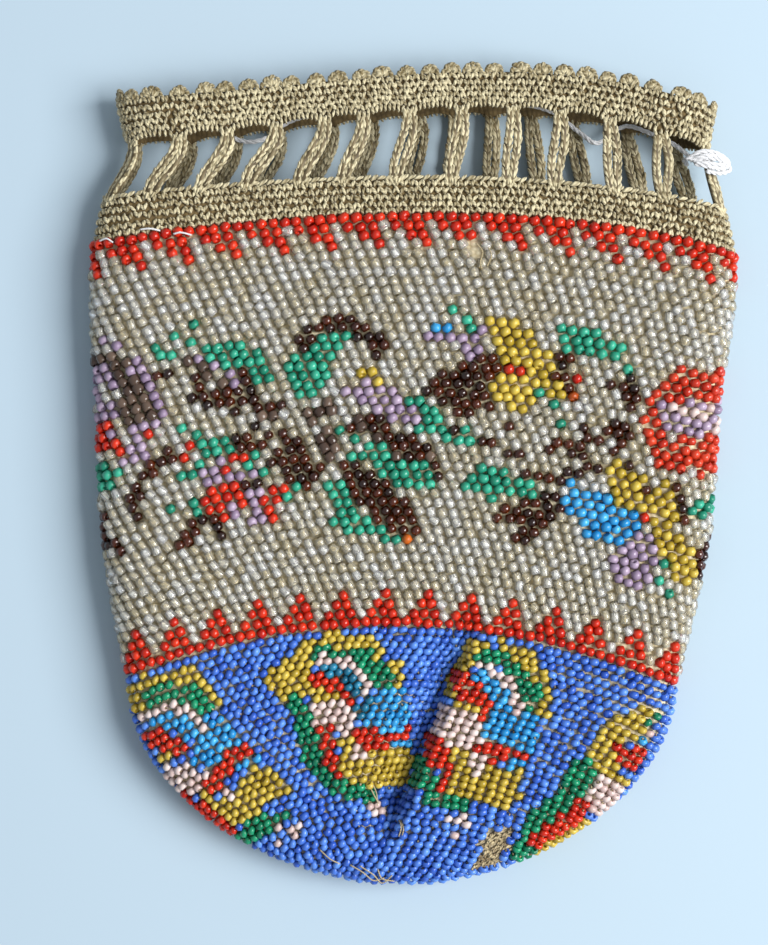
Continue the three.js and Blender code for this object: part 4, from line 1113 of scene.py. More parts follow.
def strand(bm: bmesh.types.BMesh, route: np.ndarray, radius: float, sides: int) -> None:
    """Draws a round strand along a route, closed at its ends, with UV along and around it.

    Args:
        bm: The mesh that takes the strand, in metres, with its UV layer.
        route: Places along the middle of the strand, in millimetres.
        radius: The strand's radius in millimetres.
        sides: Sides of its section.
    """
    uv = bm.loops.layers.uv.verify()
    run, length = unit(np.gradient(route, axis=0)), lengths_along(route)
    side = np.cross(run[0], STRAND_START)
    rings: list[list[bmesh.types.BMVert]] = []
    for place, ahead in zip(route, run):
        side = unit(side - ahead * (side @ ahead))
        circle = bmesh.ops.create_circle(bm, segments=sides, radius=radius * MM)
        axes = Matrix([side, np.cross(ahead, side), ahead]).transposed().to_4x4()
        bmesh.ops.transform(bm, verts=circle["verts"], matrix=Matrix.Translation(Vector(place) * MM) @ axes)
        rings.append(circle["verts"])
    for index, (first, second) in enumerate(zip(rings, rings[1:])):
        for corner in range(sides):
            after = (corner + 1) % sides
            face = bm.faces.new((first[corner], first[after], second[after], second[corner]))
            for loop, (u, v) in zip(face.loops, ((corner, 0), (corner + 1, 0), (corner + 1, 1), (corner, 1))):
                loop[uv].uv = (u / sides, length[index + v])
    bm.faces.new(rings[0][::-1])
    bm.faces.new(rings[-1])


@dataclass
class Laying:
    """Where the beads lie: for each, its depth, turn, round in the body or -1, number, width and length."""

    depth: np.ndarray
    turn: np.ndarray
    row: np.ndarray
    number: np.ndarray
    width: np.ndarray
    length: np.ndarray


@dataclass
class Beadwork:
    """All the beads, laid round by round, and the thread that shows through the clear ones."""

    round_count: int = 112
    body_rounds: int = 45
    base_line: float = 99.0
    widest: float = 2.14
    narrowest: float = 1.9
    length: float = 1.54
    drawn_length: float = 1.68
    base_width: float = 1.9
    base_length: float = 1.2
    base_pitch: float = 1.72
    base_round_pitch: float = 1.5
    sunk_share: float = 1.1
    lean_degrees: float = 28.0
    round_drift: float = 0.35
    round_phase: float = -1.0
    base_stagger: float = 0.42
    core_radius: float = 0.42
    core_length: float = 1.5
    base_core_radius: float = 0.16
    base_core_lengths: Point = (0.8, 1.7)
    base_core_share: float = 0.45
    turn_jitter: float = 13.0
    base_jitter: float = 14.0
    tip_jitter: float = 11.0
    size_jitter: float = 0.06
    size_limit: float = 0.12
    place_jitter: float = 0.11
    fewest_beads: int = 6
    slowest: float = 0.6
    foot_gap: float = 0.5
    measuring_steps: int = 1440
    tooth_rows: tuple[tuple[int, ...], ...] = ((0, 1, 2, 3), (0, 1, 3), (0, 1), (1,))
    round_section: tuple[Point, ...] = ((0.3, -0.6), (0.72, -1.0), (1.0, 0.0), (0.72, 1.0), (0.3, 0.6))
    drawn_section: tuple[Point, ...] = (
        (0.42, -0.85), (0.8, -1.0), (1.0, -0.6), (1.0, 0.6), (0.8, 1.0), (0.42, 0.85))
    sides: int = 7
    rng: np.random.Generator = field(default_factory=lambda: np.random.default_rng(SEED))

    def around(self, depth: float, inset: float) -> tuple[np.ndarray, np.ndarray]:
        """Turns once round the bag, and the length of the round up to each.

        Args:
            depth: Depth of the round.
            inset: Inset of its skin.
        Returns:
            Turns, and lengths in millimetres.
        """
        turns = np.linspace(0, 1, self.measuring_steps + 1)
        loop = FORM.point(depth, turns, inset)
        return turns, lengths_along(loop)

    def base_rounds(self) -> list[tuple[float, int]]:
        """Depth and bead count of the rounds of the base, which lose beads towards its foot.

        Returns:
            A depth and a count for each round.
        """
        rounds: list[tuple[float, int]] = []
        inset = self.base_width / 2
        depth = self.base_line + 0.5 * self.base_round_pitch
        while depth < FORM.centre_depth - self.foot_gap:
            beads = round(self.around(depth, inset)[1][-1] / self.base_pitch)
            rounds.append((depth, max(self.fewest_beads, beads)))
            ends = FORM.point(np.array([depth, depth + self.foot_gap]), 0.0, inset)
            speed = np.linalg.norm(ends[1] - ends[0]) / self.foot_gap
            depth += 2 * self.base_round_pitch / (1 + max(speed, self.slowest))
        return rounds

    def lay(self) -> Laying:
        """Lays the beads out, round by round from the header to the foot of the base.

        Returns:
            Places and sizes of all the beads.
        """
        pitch = (self.base_line - FORM.shoulder_depth) / self.body_rounds
        rounds = [(FORM.shoulder_depth + pitch * (row + 0.5), self.round_count, row)
                  for row in range(self.body_rounds)]
        rounds += [(depth, count, -1) for depth, count in self.base_rounds()]
        parts = []
        for index, (depth, count, row) in enumerate(rounds):
            turns, along = self.around(depth, self.widest / 2)
            number = np.arange(count)
            offset = self.round_drift * index + self.round_phase
            if row < 0:
                offset = np.interp(0.25, turns, along) / along[-1] * count - self.base_stagger * index
            share = np.mod(number + offset, count) / count
            width = np.clip(along[-1] / count, self.narrowest, self.widest) if row >= 0 else self.base_width
            length = self.length if row >= 0 else self.base_length
            one = np.ones(count)
            parts.append((one * depth, np.interp(share * along[-1], along, turns), one * row, number,
                          one * width, one * length))
        return Laying(*(np.concatenate(column) for column in zip(*parts)))

    def tints(self, places: np.ndarray, front: np.ndarray, rows: np.ndarray,
              numbers: np.ndarray) -> np.ndarray:
        """Gives each bead its colour.

        Args:
            places: Place of each bead on the charts.
            front: Marks the beads of the front.
            rows: Round of each bead in the body, or -1.
            numbers: Number of each bead in its round.
        Returns:
            A tint for each bead.
        """
        tints = np.where(rows >= 0, Tint.CLEAR, Tint.BLUE)
        for side in (front, ~front):
            for zone, figures in ((rows >= 0, FLOWER_BAND), (rows < 0, BASE_BAND)):
                chosen = np.flatnonzero(side & zone)
                for figure in figures:
                    tints[chosen[figure.choose(places[chosen])]] = figure.tint
        tooth = np.mod(numbers, len(self.tooth_rows))
        for steps in (rows, np.where(rows >= 0, self.body_rounds - 1 - rows, -1)):
            for step, beads in enumerate(self.tooth_rows):
                tints[(steps == step) & np.isin(tooth, beads)] = Tint.RED
        for figure in WORN_SPOTS:
            chosen = np.flatnonzero(front)
            tints[chosen[figure.choose(places[chosen])]] = Tint.NONE
        return tints

    def build(self) -> None:
        """Lays every bead in place and dresses it in its glass."""
        laying = self.lay()
        count = len(laying.depth)
        places, along, down, out = FORM.axes(laying.depth, laying.turn, laying.width / 2 * self.sunk_share)
        front = np.mod(laying.turn, 1) < 0.5
        tints = self.tints(FORM.chart(places), front, laying.row, laying.number)
        rounded, drawn = (bead_shape(section, self.sides)
                          for section in (self.round_section, self.drawn_section))
        sown: dict[tuple[Tint, str], Sowing] = {}
        cores, base_cores = Sowing(core_shape()), Sowing(core_shape())
        jitter = np.where(laying.row < 0, self.base_jitter, self.turn_jitter)
        turning = np.radians(self.lean_degrees + self.rng.normal(0, jitter))
        tipping = np.radians(self.rng.normal(0, self.tip_jitter, count))
        rolling = self.rng.uniform(0, math.tau, count)
        stray = self.rng.normal(0, self.size_jitter, (count, 2))
        sizes = 1 + np.clip(stray, -self.size_limit, self.size_limit)
        shifts = self.rng.normal(0, self.place_jitter, (count, 2))
        tones = self.rng.uniform(0, 1, count)
        for at in range(count):
            if tints[at] is Tint.NONE:
                continue
            wide = spin_about(out[at], along[at], turning[at])
            axis = spin_about(wide, np.cross(wide, out[at]), tipping[at])
            rolled = spin_about(axis, wide, rolling[at])
            side = np.cross(axis, rolled)
            place = places[at] + along[at] * shifts[at, 0] + down[at] * shifts[at, 1]
            glass_is_drawn = GLASS[tints[at]].drawn
            length = self.drawn_length if glass_is_drawn else laying.length[at]
            radius, half = laying.width[at] / 2 * sizes[at, 0], length / 2 * sizes[at, 1]
            key = (tints[at], self.zone(tints[at], laying.row[at], front[at]))
            if key not in sown:
                sown[key] = Sowing(drawn if glass_is_drawn else rounded)
            sown[key].add(matrix_of(place, rolled * radius, side * radius, axis * half), tones[at])
            # Painted light: each clear bead holds a near-white core of thread.
            if tints[at] is Tint.CLEAR:
                thin, half = self.core_radius, self.core_length / 2
                cores.add(matrix_of(place, rolled * thin, side * thin, axis * half), tones[at])
            elif laying.row[at] < 0 and self.rng.uniform() < self.base_core_share:
                thin, half = self.base_core_radius, self.rng.uniform(*self.base_core_lengths) / 2
                base_cores.add(matrix_of(place, rolled * thin, side * thin, axis * half), tones[at])
        for (tint, zone), sowing in sorted(sown.items(), key=lambda item: (item[0][0].value, item[0][1])):
            slot, replaced = self.home(tint, zone)
            sowing.settle(f"{tint.value}_beads{zone}", GLASS[tint].material(), slot, replaced)
        cores.settle("bead_threads", PAINTED_LIGHT_CORE_THREAD.material(), "tan_ground")
        base_cores.settle("base_bead_threads", GROUND_THREAD.material(), "tan_ground")

    def zone(self, tint: Tint, row: int, front: bool) -> str:
        """The part of the bag that a bead's piece is named for.

        Args:
            tint: The bead's colour.
            row: Its round in the body, or -1.
            front: Whether it lies on the front.
        Returns:
            The end of the piece's name.
        """
        if tint in (Tint.CLEAR, Tint.BLUE):
            return "_front" if front else "_back"
        if tint is Tint.RED and 0 <= row < len(self.tooth_rows):
            return "_upper_border"
        if tint is Tint.RED and row >= self.body_rounds - len(self.tooth_rows):
            return "_lower_border"
        return "_flowers" if row >= 0 else "_base"

    def home(self, tint: Tint, zone: str) -> tuple[str, tuple[str, ...]]:
        """The slot name and the CAD node that a piece of beads stands for.

        Args:
            tint: Colour of the beads.
            zone: The end of the piece's name.
        Returns:
            The slot, and the node if there is one.
        """
        if tint is Tint.CLEAR:
            return "clear_glass", ("clear_bead_field",)
        if tint is Tint.BLUE:
            return "blue_glass", ("blue_base_beads",)
        if zone == "_upper_border":
            return "red_glass", ("upper_red_zigzag_beads",)
        if zone == "_lower_border":
            return "red_glass", ("lower_red_zigzag_beads",)
        if tint in (Tint.RED, Tint.CORAL):
            return "red_glass", ()
        return ("clear_glass" if zone == "_flowers" else "blue_glass"), ()


def skin_sheet(upper: np.ndarray, lower: np.ndarray, rows: int, inset: float,
               wall: float) -> bmesh.types.BMesh:
    """A sheet that follows the skin once round the bag, between an upper and a lower edge.

    Args:
        upper: Depth of the upper edge at evenly spaced turns.
        lower: Depth of the lower edge at the same turns.
        rows: Rows of faces between the edges.
        inset: Inset of the outer face.
        wall: Thickness of the sheet.
    Returns:
        The closed sheet in metres, with UV in millimetres along and down the bag.
    """
    columns = len(upper) - 1
    bm = bmesh.new()
    uv = bm.loops.layers.uv.new("UVMap")
    bmesh.ops.create_grid(bm, x_segments=columns, y_segments=rows, size=0.5)
    grid = np.array([vert.co for vert in bm.verts])
    turn = grid[:, 0] + 0.5
    share = 0.5 - grid[:, 1]
    even = np.linspace(0, 1, columns + 1)
    depth = lerp(np.interp(turn, even, upper), np.interp(turn, even, lower), share)
    for vert, place in zip(bm.verts, FORM.point(depth, turn, inset) * MM):
        vert.co = place
    bm.verts.index_update()
    for face in bm.faces:
        for loop in face.loops:
            at = loop.vert.index
            loop[uv].uv = (turn[at] * 4 * FORM.quarter, depth[at])
    bmesh.ops.remove_doubles(bm, verts=bm.verts[:], dist=SEAM)
    bmesh.ops.recalc_face_normals(bm, faces=bm.faces[:])
    front = max(bm.faces, key=lambda face: face.calc_center_median().z)
    if front.normal.z < 0:
        bmesh.ops.reverse_faces(bm, faces=bm.faces[:])
    bmesh.ops.solidify(bm, geom=bm.faces[:], thickness=wall * MM)
    return bm


@dataclass
class Ground:
    """The crocheted ground under the beads, with the bald patch where its stitches lie bare."""

    inset: float = 1.75
    wall: float = 0.6
    columns: int = 144
    rows: int = 66
    stitch_pitch: float = 1.05
    stitch_row: float = 0.9
    stitch_size: Point = (0.55, 1.35)
    top_gap: float = 0.3
    bare_inset: float = 1.3
    bare_top: float = 30.0
    bare_foot: float = 1.0
    bare_turns: Point = (0.2, 0.48)
    slant: Point = (46.0, 24.0)
    stray: float = 0.2
    size_range: Point = (0.7, 1.25)
    tones: Point = (0.0, 0.9)
    rng: np.random.Generator = field(default_factory=lambda: np.random.default_rng(SEED + 1))

    def build(self) -> None:
        """Makes the cup of cloth and the bare stitches."""
        edge = np.full(self.columns + 1, FORM.shoulder_depth + self.top_gap)
        foot = np.full(self.columns + 1, FORM.centre_depth)
        cup = skin_sheet(edge, foot, self.rows, self.inset, self.wall)
        settle(cup, "crocheted_ground", GROUND_CLOTH.material(), ("crochet_ground",))
        self.bare_stitches()

    def bare_stitches(self) -> None:
        """Lays the slanting loops of thread that show where beads have been lost."""
        sown = Sowing(stitch_shape())
        top, foot = FORM.base_depth + self.bare_top, FORM.centre_depth - self.bare_foot
        depths = np.arange(top, foot, self.stitch_row)
        turns = np.arange(*self.bare_turns, FORM.turn_of(self.stitch_pitch))
        for depth, turn in itertools.product(depths, turns):
            at = FORM.axes(np.array([depth]), np.array([turn]), self.bare_inset)
            place, along, down, out = (axis[0] for axis in at)
            if not BALD_PATCH.choose(FORM.chart(place[None]))[0]:
                continue
            run = spin_about(out, along, math.radians(self.rng.normal(*self.slant)))
            place = place + along * self.rng.normal(0, self.stray) + down * self.rng.normal(0, self.stray)
            width, length = np.array(self.stitch_size) * self.rng.uniform(*self.size_range, 2)
            sown.add(matrix_of(place, np.cross(run, out) * width / 2, run * length / 2, out * width / 2),
                     self.rng.uniform(*self.tones))
        sown.settle("bare_ground_stitches", GROUND_THREAD.material(), "tan_ground")


@dataclass(frozen=True)
class ScallopRing:
    """Five legs of a scallop: degrees between them, reach in radii, depth of the middle, and turn."""

    spread: float
    across: float
    up: float
    depth: float
    turned: float
    leg: Point
    tones: Point


@dataclass
class Header:
    """The silk header: two crocheted bands, chain-stitch bars round the eyelets and a scalloped rim."""

    stitch_pitch: float = 1.42
    leg_size: Point = (0.76, 1.42)
    leg_thickness: float = 0.78 / 0.76
    leg_lean: float = 30.0
    leg_spacing: float = 0.25
    leg_stray: float = 0.08
    depth_stray: float = 0.1
    inset_stray: float = 0.07
    lean_stray: float = 10.0
    tilt: float = 0.12
    size_stray: float = 0.1
    size_limit: float = 0.2
    surface: float = 1.12
    backing: float = 1.5
    backing_wall: float = 0.5
    upper_rows: tuple[float, ...] = (0.35, 1.55, 2.75, 3.95, 5.1)
    lower_rows: tuple[float, ...] = (19.3, 20.55, 21.8, 23.05, 24.2)
    arch_rise: float = 1.3
    arch_fullness: float = 0.7
    band_gap: float = 0.3
    bar_overlap: float = 0.4
    upper_edge_gap: float = 0.65
    upper_edge: tuple[float, float, Point] = (6.0, 0.87, (0.7, 1.5))
    lower_edge: tuple[float, float, Point] = (72.0, 1.4, (0.8, 2.0))
    scallops: int = 56
    scallop_radius: float = 1.62
    scallop_rings: tuple[ScallopRing, ...] = (
        ScallopRing(32.0, 0.6, 0.5, -0.2, 0.0, (0.9, 1.8), (0.1, 0.75)),
        # The outer ring's low tones paint the rounded edge dark as shade.
        ScallopRing(38.0, 1.0, 0.95, -0.15, 90.0, (0.9, 1.45), (0.0, 0.4)),
    )
    bar_middles: tuple[float, ...] = (
        -52.5, -44.3, -35.5, -27.0, -18.0, -10.6, -1.8, 7.8, 17.6, 25.9, 35.6, 44.6, 54.4)
    bar_leans: tuple[float, ...] = (4.4, 4.9, 4.9, 5.5, 4.7, 3.8, 2.7, 2.0, 0.9, 1.2, -0.5, -0.5, -1.6)
    back_middles: tuple[float, ...] = (
        -52.5, -42.6, -34.2, -26.2, -16.4, -8.8, 0.6, 7.4, 14.4, 22.4, 30.4, 40.6, 49.4)
    back_leans: tuple[float, ...] = (4.2, 3.8, 3.8, 3.8, 3.8, 3.0, 2.0, 1.0, 0.4, -1.2, -2.2, -2.4, -2.8)
    bar_eyes: tuple[float, ...] = (0.1, 0.05, 0.08, 0.32, 0.05, 0.0, 0.2, 0.1, 0.05, 0.12, 0.12, 0.15, 0.05)
    strand_half: float = 0.88
    strand_end: float = 0.52
    strand_core: float = 0.66
    strand_sink: float = 0.25
    strand_sides: int = 6
    # The one low tone of the inner strands is painted shade.
    strand_shade_tone: float = 0.25
    links: int = 9
    link_leg: Point = (0.8, 2.4)
    link_spacing: float = 0.45
    link_lean: Point = (14.0, 6.0)
    chain_thickness: float = 0.6
    band_tones: Point = (0.15, 1.0)
    edge_tones: Point = (0.3, 0.95)
    chain_tones: Point = (0.3, 1.0)
    # The back bars' inner chains take darker tones as painted shade.
    inner_shade_tones: Point = (0.1, 0.85)
    measuring_steps: int = 400
    backing_columns: int = 260
    backing_rows: int = 3
    rng: np.random.Generator = field(default_factory=lambda: np.random.default_rng(SEED + 2))

    def __post_init__(self) -> None:
        """Finds where each bar meets the bands."""
        middle = (FORM.waist_depth + FORM.lower_band_depth) / 2
        fine = np.linspace(0, 0.5, self.measuring_steps + 1)
        front = np.interp(self.bar_middles, FORM.point(middle, fine, self.surface)[:, 0], fine)
        back = 1 - np.interp(self.back_middles, FORM.point(middle, 1 - fine, self.surface)[:, 0], fine)
        leans = np.concatenate([self.bar_leans, -np.array(self.back_leans)])
        self.bar_turns = np.concatenate([front, back])
        top, foot = (FORM.point(depth, self.bar_turns, self.surface)[:, 0]
                     for depth in (FORM.waist_depth, FORM.lower_band_depth))
        drift = (top - foot) * FORM.column(self.bar_turns)[0]
        self.bar_lean = leans - drift
        self.bar_eye = self.bar_eyes + self.bar_eyes
        self.stitch = stitch_shape()

    def arch(self, turn: np.ndarray) -> np.ndarray:
        """How far the upper band's lower edge rises between the tops of two bars.

        Args:
            turn: Turns along the edge.
        Returns:
            The rise at each turn.
        """
        tops = np.sort(np.mod(self.bar_turns + FORM.turn_of(1.0) * self.bar_lean / 2, 1))
        tops = np.concatenate([[tops[-1] - 1], tops, [tops[0] + 1]])
        span = np.clip(np.searchsorted(tops, np.mod(turn, 1), side="right"), 1, len(tops) - 1)
        share = (np.mod(turn, 1) - tops[span - 1]) / (tops[span] - tops[span - 1])
        return self.arch_rise * np.maximum(0, 1 - (2 * share - 1) ** 2) ** self.arch_fullness

    def leg(self, sown: Sowing, depth: float, turn: float, angle: float, size: Point, tones: Point) -> None:
        """Lays one leg of a stitch.

        Args:
            sown: The piece that takes it.
            depth: Depth of its middle.
            turn: Turn of its middle.
            angle: Lean from straight up the bag, in degrees, to the right seen from outside.
            size: Its width and its length.
            tones: The darkest and the lightest shade it may have.
        """
        inset = self.surface + abs(self.rng.normal(0, self.inset_stray))
        place, _, down, out = (axis[0] for axis in FORM.axes(np.array([depth]), np.array([turn]), inset))
        lean = math.radians(angle + self.rng.normal(0, self.lean_stray))
        self.lay_leg(sown, place, spin_about(out, -down, -lean), out, size, tones)

    def lay_leg(self, sown: Sowing, place: np.ndarray, run: np.ndarray, out: np.ndarray, size: Point,
                tones: Point) -> None:
        """Lays one leg of a stitch along a given run.

        Args:
            sown: The piece that takes it.
            place: Its middle.
            run: Unit direction of its length.
            out: Unit direction out of the bag.
            size: Its width and its length.
            tones: The darkest and the lightest shade it may have.
        """
        run = run * math.cos(self.tilt) + out * math.sin(self.rng.normal(0, self.tilt))
        side = np.cross(run, out)
        stray = np.clip(self.rng.normal(0, self.size_stray, 2), -self.size_limit, self.size_limit)
        width, length = np.array(size) * (1 + stray)
        thick = width * self.leg_thickness
        sown.add(matrix_of(place, side * width / 2, run * length / 2, np.cross(side, run) * thick / 2),
                 self.rng.uniform(*tones))

    def band_row(self, sown: Sowing, depth: float, offset: float, lift: float) -> None:
        """Lays one round of stitches, each of two leaning legs, lifted by a share of the arches.

        Args:
            sown: The piece that takes them.
            depth: Depth of the round.
            offset: Shift along the round, in stitches.
            lift: Share of the arches.
        """
        count = round(4 * FORM.quarter / self.stitch_pitch)
        for number in range(count):
            for side in (-1, 1):
                stray = self.rng.normal(0, self.leg_stray)
                turn = (number + offset + side * self.leg_spacing + stray) / count
                raised = depth - lift * float(self.arch(np.array(turn)))
                self.leg(sown, raised + self.rng.normal(0, self.depth_stray), turn, side * self.leg_lean,
                         self.leg_size, self.band_tones)

    def edge_row(self, sown: Sowing, depth: float, lift: float, stitch: tuple[float, float, Point]) -> None:
        """Lays an edge of close single stitches.

        Args:
            sown: The piece that takes them.
            depth: Depth of the edge.
            lift: Share of the arches by which it is lifted.
            stitch: Lean, pitch and size of a stitch.
        """
        angle, pitch, size = stitch
        count = round(4 * FORM.quarter / pitch)
        for number in range(count):
            turn = (number + 0.5) / count
            raised = depth - lift * float(self.arch(np.array(turn)))
            self.leg(sown, raised, turn, angle, size, self.edge_tones)

    def bars(self, sown: Sowing, strands: bmesh.types.BMesh) -> None:
        """Lays the chain-stitch bars: two strands each, drawn together at both ends and swayed like an S.

        Args:
            sown: The piece that takes the links' legs.
            strands: The mesh that takes the thread inside the chains, painted darker as shade.
        """
        share = np.linspace(0, 1, self.links + 1)
        angle = math.pi * share
        depth = lerp(FORM.waist_depth - self.bar_overlap, FORM.lower_band_depth + self.bar_overlap, share)
        for turn, lean, eye in zip(self.bar_turns, self.bar_lean, self.bar_eye):
            for side in (-1, 1):
                apart = self.strand_end + (self.strand_half + eye - self.strand_end) * np.sin(angle)
                turns = turn + FORM.turn_of(lean / 2 * np.cos(angle) + side * apart)
                core = FORM.point(depth, turns, self.surface + self.strand_sink)
                strand(strands, core, self.strand_core, self.strand_sides)
                places, _, _, outs = FORM.axes(depth, turns, self.surface)
                self.chain(sown, places, outs, self.chain_tones)
                # The back bars also get a chain on their inner face, painted darker as shade.
                if turn > 0.5:
                    self.chain(sown, places - self.chain_thickness * outs, -outs, self.inner_shade_tones)

    def chain(self, sown: Sowing, places: np.ndarray, outs: np.ndarray, tones: Point) -> None:
        """Lays the legs of a chain of links, two at each place.

        Args:
            sown: The piece that takes them.
            places: Places along the chain.
            outs: Directions that the chain faces.
            tones: The darkest and the lightest shade of a leg.
        """
        runs = unit(-np.gradient(places, axis=0))
        for place, run, out in zip(places, runs, outs):
            for leg in (-1, 1):
                beside = np.cross(run, out) * leg * self.link_leg[0] * self.link_spacing
                lean_out = -math.radians(leg * self.link_lean[0] + self.rng.normal(0, self.link_lean[1]))
                self.lay_leg(sown, place + beside, spin_about(out, run, lean_out), out, self.link_leg, tones)

    def rim(self, sown: Sowing) -> None:
        """Lays the scallops: small fans of loops under a rounded edge painted darker as shade.

        Args:
            sown: The piece that takes them.
        """
        for scallop in range(self.scallops):
            middle = (scallop + 0.5 + self.rng.normal(0, self.leg_stray)) / self.scallops
            radius = self.scallop_radius * (1 + self.rng.normal(0, self.size_stray))
            for ring, step in itertools.product(self.scallop_rings, range(-2, 3)):
                degrees = step * ring.spread
                angle = math.radians(degrees)
                turn = middle + FORM.turn_of(ring.across * radius * math.sin(angle))
                depth = ring.depth - ring.up * radius * math.cos(angle)
                self.leg(sown, depth, turn, ring.turned + degrees, ring.leg, ring.tones)

    def backings(self) -> None:
        """Makes the close cloth behind the stitches of each band, dark brown as painted shade between the
        stitches.
        """
        turns = np.linspace(0, 1, self.backing_columns + 1)
        level = np.ones(self.backing_columns + 1)
        arched = FORM.waist_depth - self.bar_overlap - self.arch(turns)
        for name, top, foot in (
                ("upper_band_shade_backing", -self.band_gap * level, arched),
                ("lower_band_shade_backing", (FORM.lower_band_depth + self.band_gap) * level,
                 (FORM.shoulder_depth + self.band_gap) * level)):
            cloth = skin_sheet(top, foot, self.backing_rows, self.backing, self.backing_wall)
            settle(cloth, name, PAINTED_SHADE_BAND_CLOTH.material())

    def build(self) -> None:
        """Works the header round by round."""
        silk = SILK.material()
        upper = Sowing(self.stitch)
        for row, depth in enumerate(self.upper_rows):
            self.band_row(upper, depth, 0.5 * (row % 2), (depth / FORM.waist_depth) ** 2)
        self.edge_row(upper, FORM.waist_depth - self.upper_edge_gap, 1.0, self.upper_edge)
        self.rim(upper)
        upper.settle("upper_band_stitches", silk, "tan_silk", ("crochet_header",))
        lower = Sowing(self.stitch)
        self.edge_row(lower, FORM.lower_band_depth + self.band_gap, 0.0, self.lower_edge)
        for row, depth in enumerate(self.lower_rows):
            self.band_row(lower, depth, 0.5 * (row % 2), 0.0)
        lower.settle("lower_band_stitches", silk, "tan_silk", ("crochet_header",))
        bars, strands = Sowing(self.stitch), bmesh.new()
        self.bars(bars, strands)
        bars.settle("eyelet_bars", silk, "tan_silk", ("crochet_header",))
        tones = np.full(len(strands.verts), self.strand_shade_tone)
        settle(strands, "eyelet_bar_strands", PAINTED_SHADE_INNER_SILK.material(), (), tones)
        self.backings()


@dataclass
class Drawstring:
    """What is left of the white drawstring: three plies laid together inside the header and round one bar."""

    diameter: float = 0.9
    plies: int = 3
    twist_pitch: float = 4.0
    sides: int = 6
    steps: int = 10
    swell: float = 1.08
    tone: float = 0.85
    route: tuple[Place, ...] = (
        (-34.5, 62.6, 3.0), (-30.5, 61.4, 3.0), (-26.8, 62.2, 3.0), (-22.0, 65.4, 3.0), (-10.0, 68.2, 3.0),
        (4.0, 69.0, 3.0), (17.0, 68.6, 3.0), (25.0, 67.0, 3.0), (30.5, 63.0, 3.0), (33.8, 61.2, 3.0),
        (38.5, 64.2, 3.0), (43.0, 63.0, 3.4), (47.5, 60.6, 4.6), (51.5, 57.3, 5.2), (54.6, 56.3, 5.3),
        (55.6, 56.1, 6.6), (54.2, 56.4, 8.0), (52.3, 57.1, 9.5), (49.6, 57.5, 8.6), (48.9, 57.3, 7.0),
        (49.6, 56.7, 6.0))
    bunch: tuple[tuple[Place, ...], ...] = (
        ((49.0, 57.2, 8.8), (51.4, 58.4, 10.0), (54.4, 58.2, 9.3), (56.8, 56.9, 7.4), (55.6, 55.6, 8.2),
         (52.8, 55.8, 9.6), (50.4, 56.3, 9.6)),
        ((50.2, 56.6, 9.3), (52.8, 57.6, 10.1), (55.8, 57.3, 8.6), (57.2, 55.7, 6.4), (55.2, 54.9, 7.6),
         (52.6, 55.0, 9.2)),
        ((49.6, 57.0, 9.0), (52.0, 57.7, 10.2), (54.6, 57.4, 9.6), (56.0, 56.8, 8.2), (55.0, 56.2, 9.0),
         (52.4, 56.3, 10.0), (50.6, 56.4, 9.8)),
        ((51.2, 57.4, 9.9), (53.6, 57.2, 9.8), (55.7, 56.9, 8.6), (56.8, 56.2, 6.8), (55.4, 55.9, 8.2),
         (53.2, 55.6, 9.5)),
    )

    def build(self) -> None:
        bm = bmesh.new()
        bm.loops.layers.uv.new("UVMap")
        path, length = self.twist(bm, self.route)
        for loop in self.bunch:
            self.twist(bm, loop)
        tones = np.full(len(bm.verts), self.tone)
        cord = settle(bm, "white_drawstring", COTTON.material(), ("drawstring",), tones)

    def twist(self, bm: bmesh.types.BMesh, route: tuple[Place, ...]) -> tuple[np.ndarray, float]:
        """Twists the plies round one route.

        Args:
            bm: The mesh that takes them.
            route: Points that the cord passes.
        Returns:
            Places along the cord's middle, and its length.
        """
        path = smooth_route(list(route), self.steps)
        run, length = unit(np.gradient(path, axis=0)), lengths_along(path)
        ply = self.diameter / 2 / (1 + 2 / math.sqrt(3)) * self.swell
        away = self.diameter / 2 - ply
        for number in range(self.plies):
            side = np.cross(run[0], (0.0, 0.0, 1.0))
            places = []
            for place, ahead, at in zip(path, run, length):
                side = unit(side - ahead * (side @ ahead))
                angle = math.tau * (at / self.twist_pitch + number / self.plies)
                places.append(place + spin_about(ahead, side, angle) * away)
            strand(bm, np.array(places), ply, self.sides)
        return path, float(length[-1])


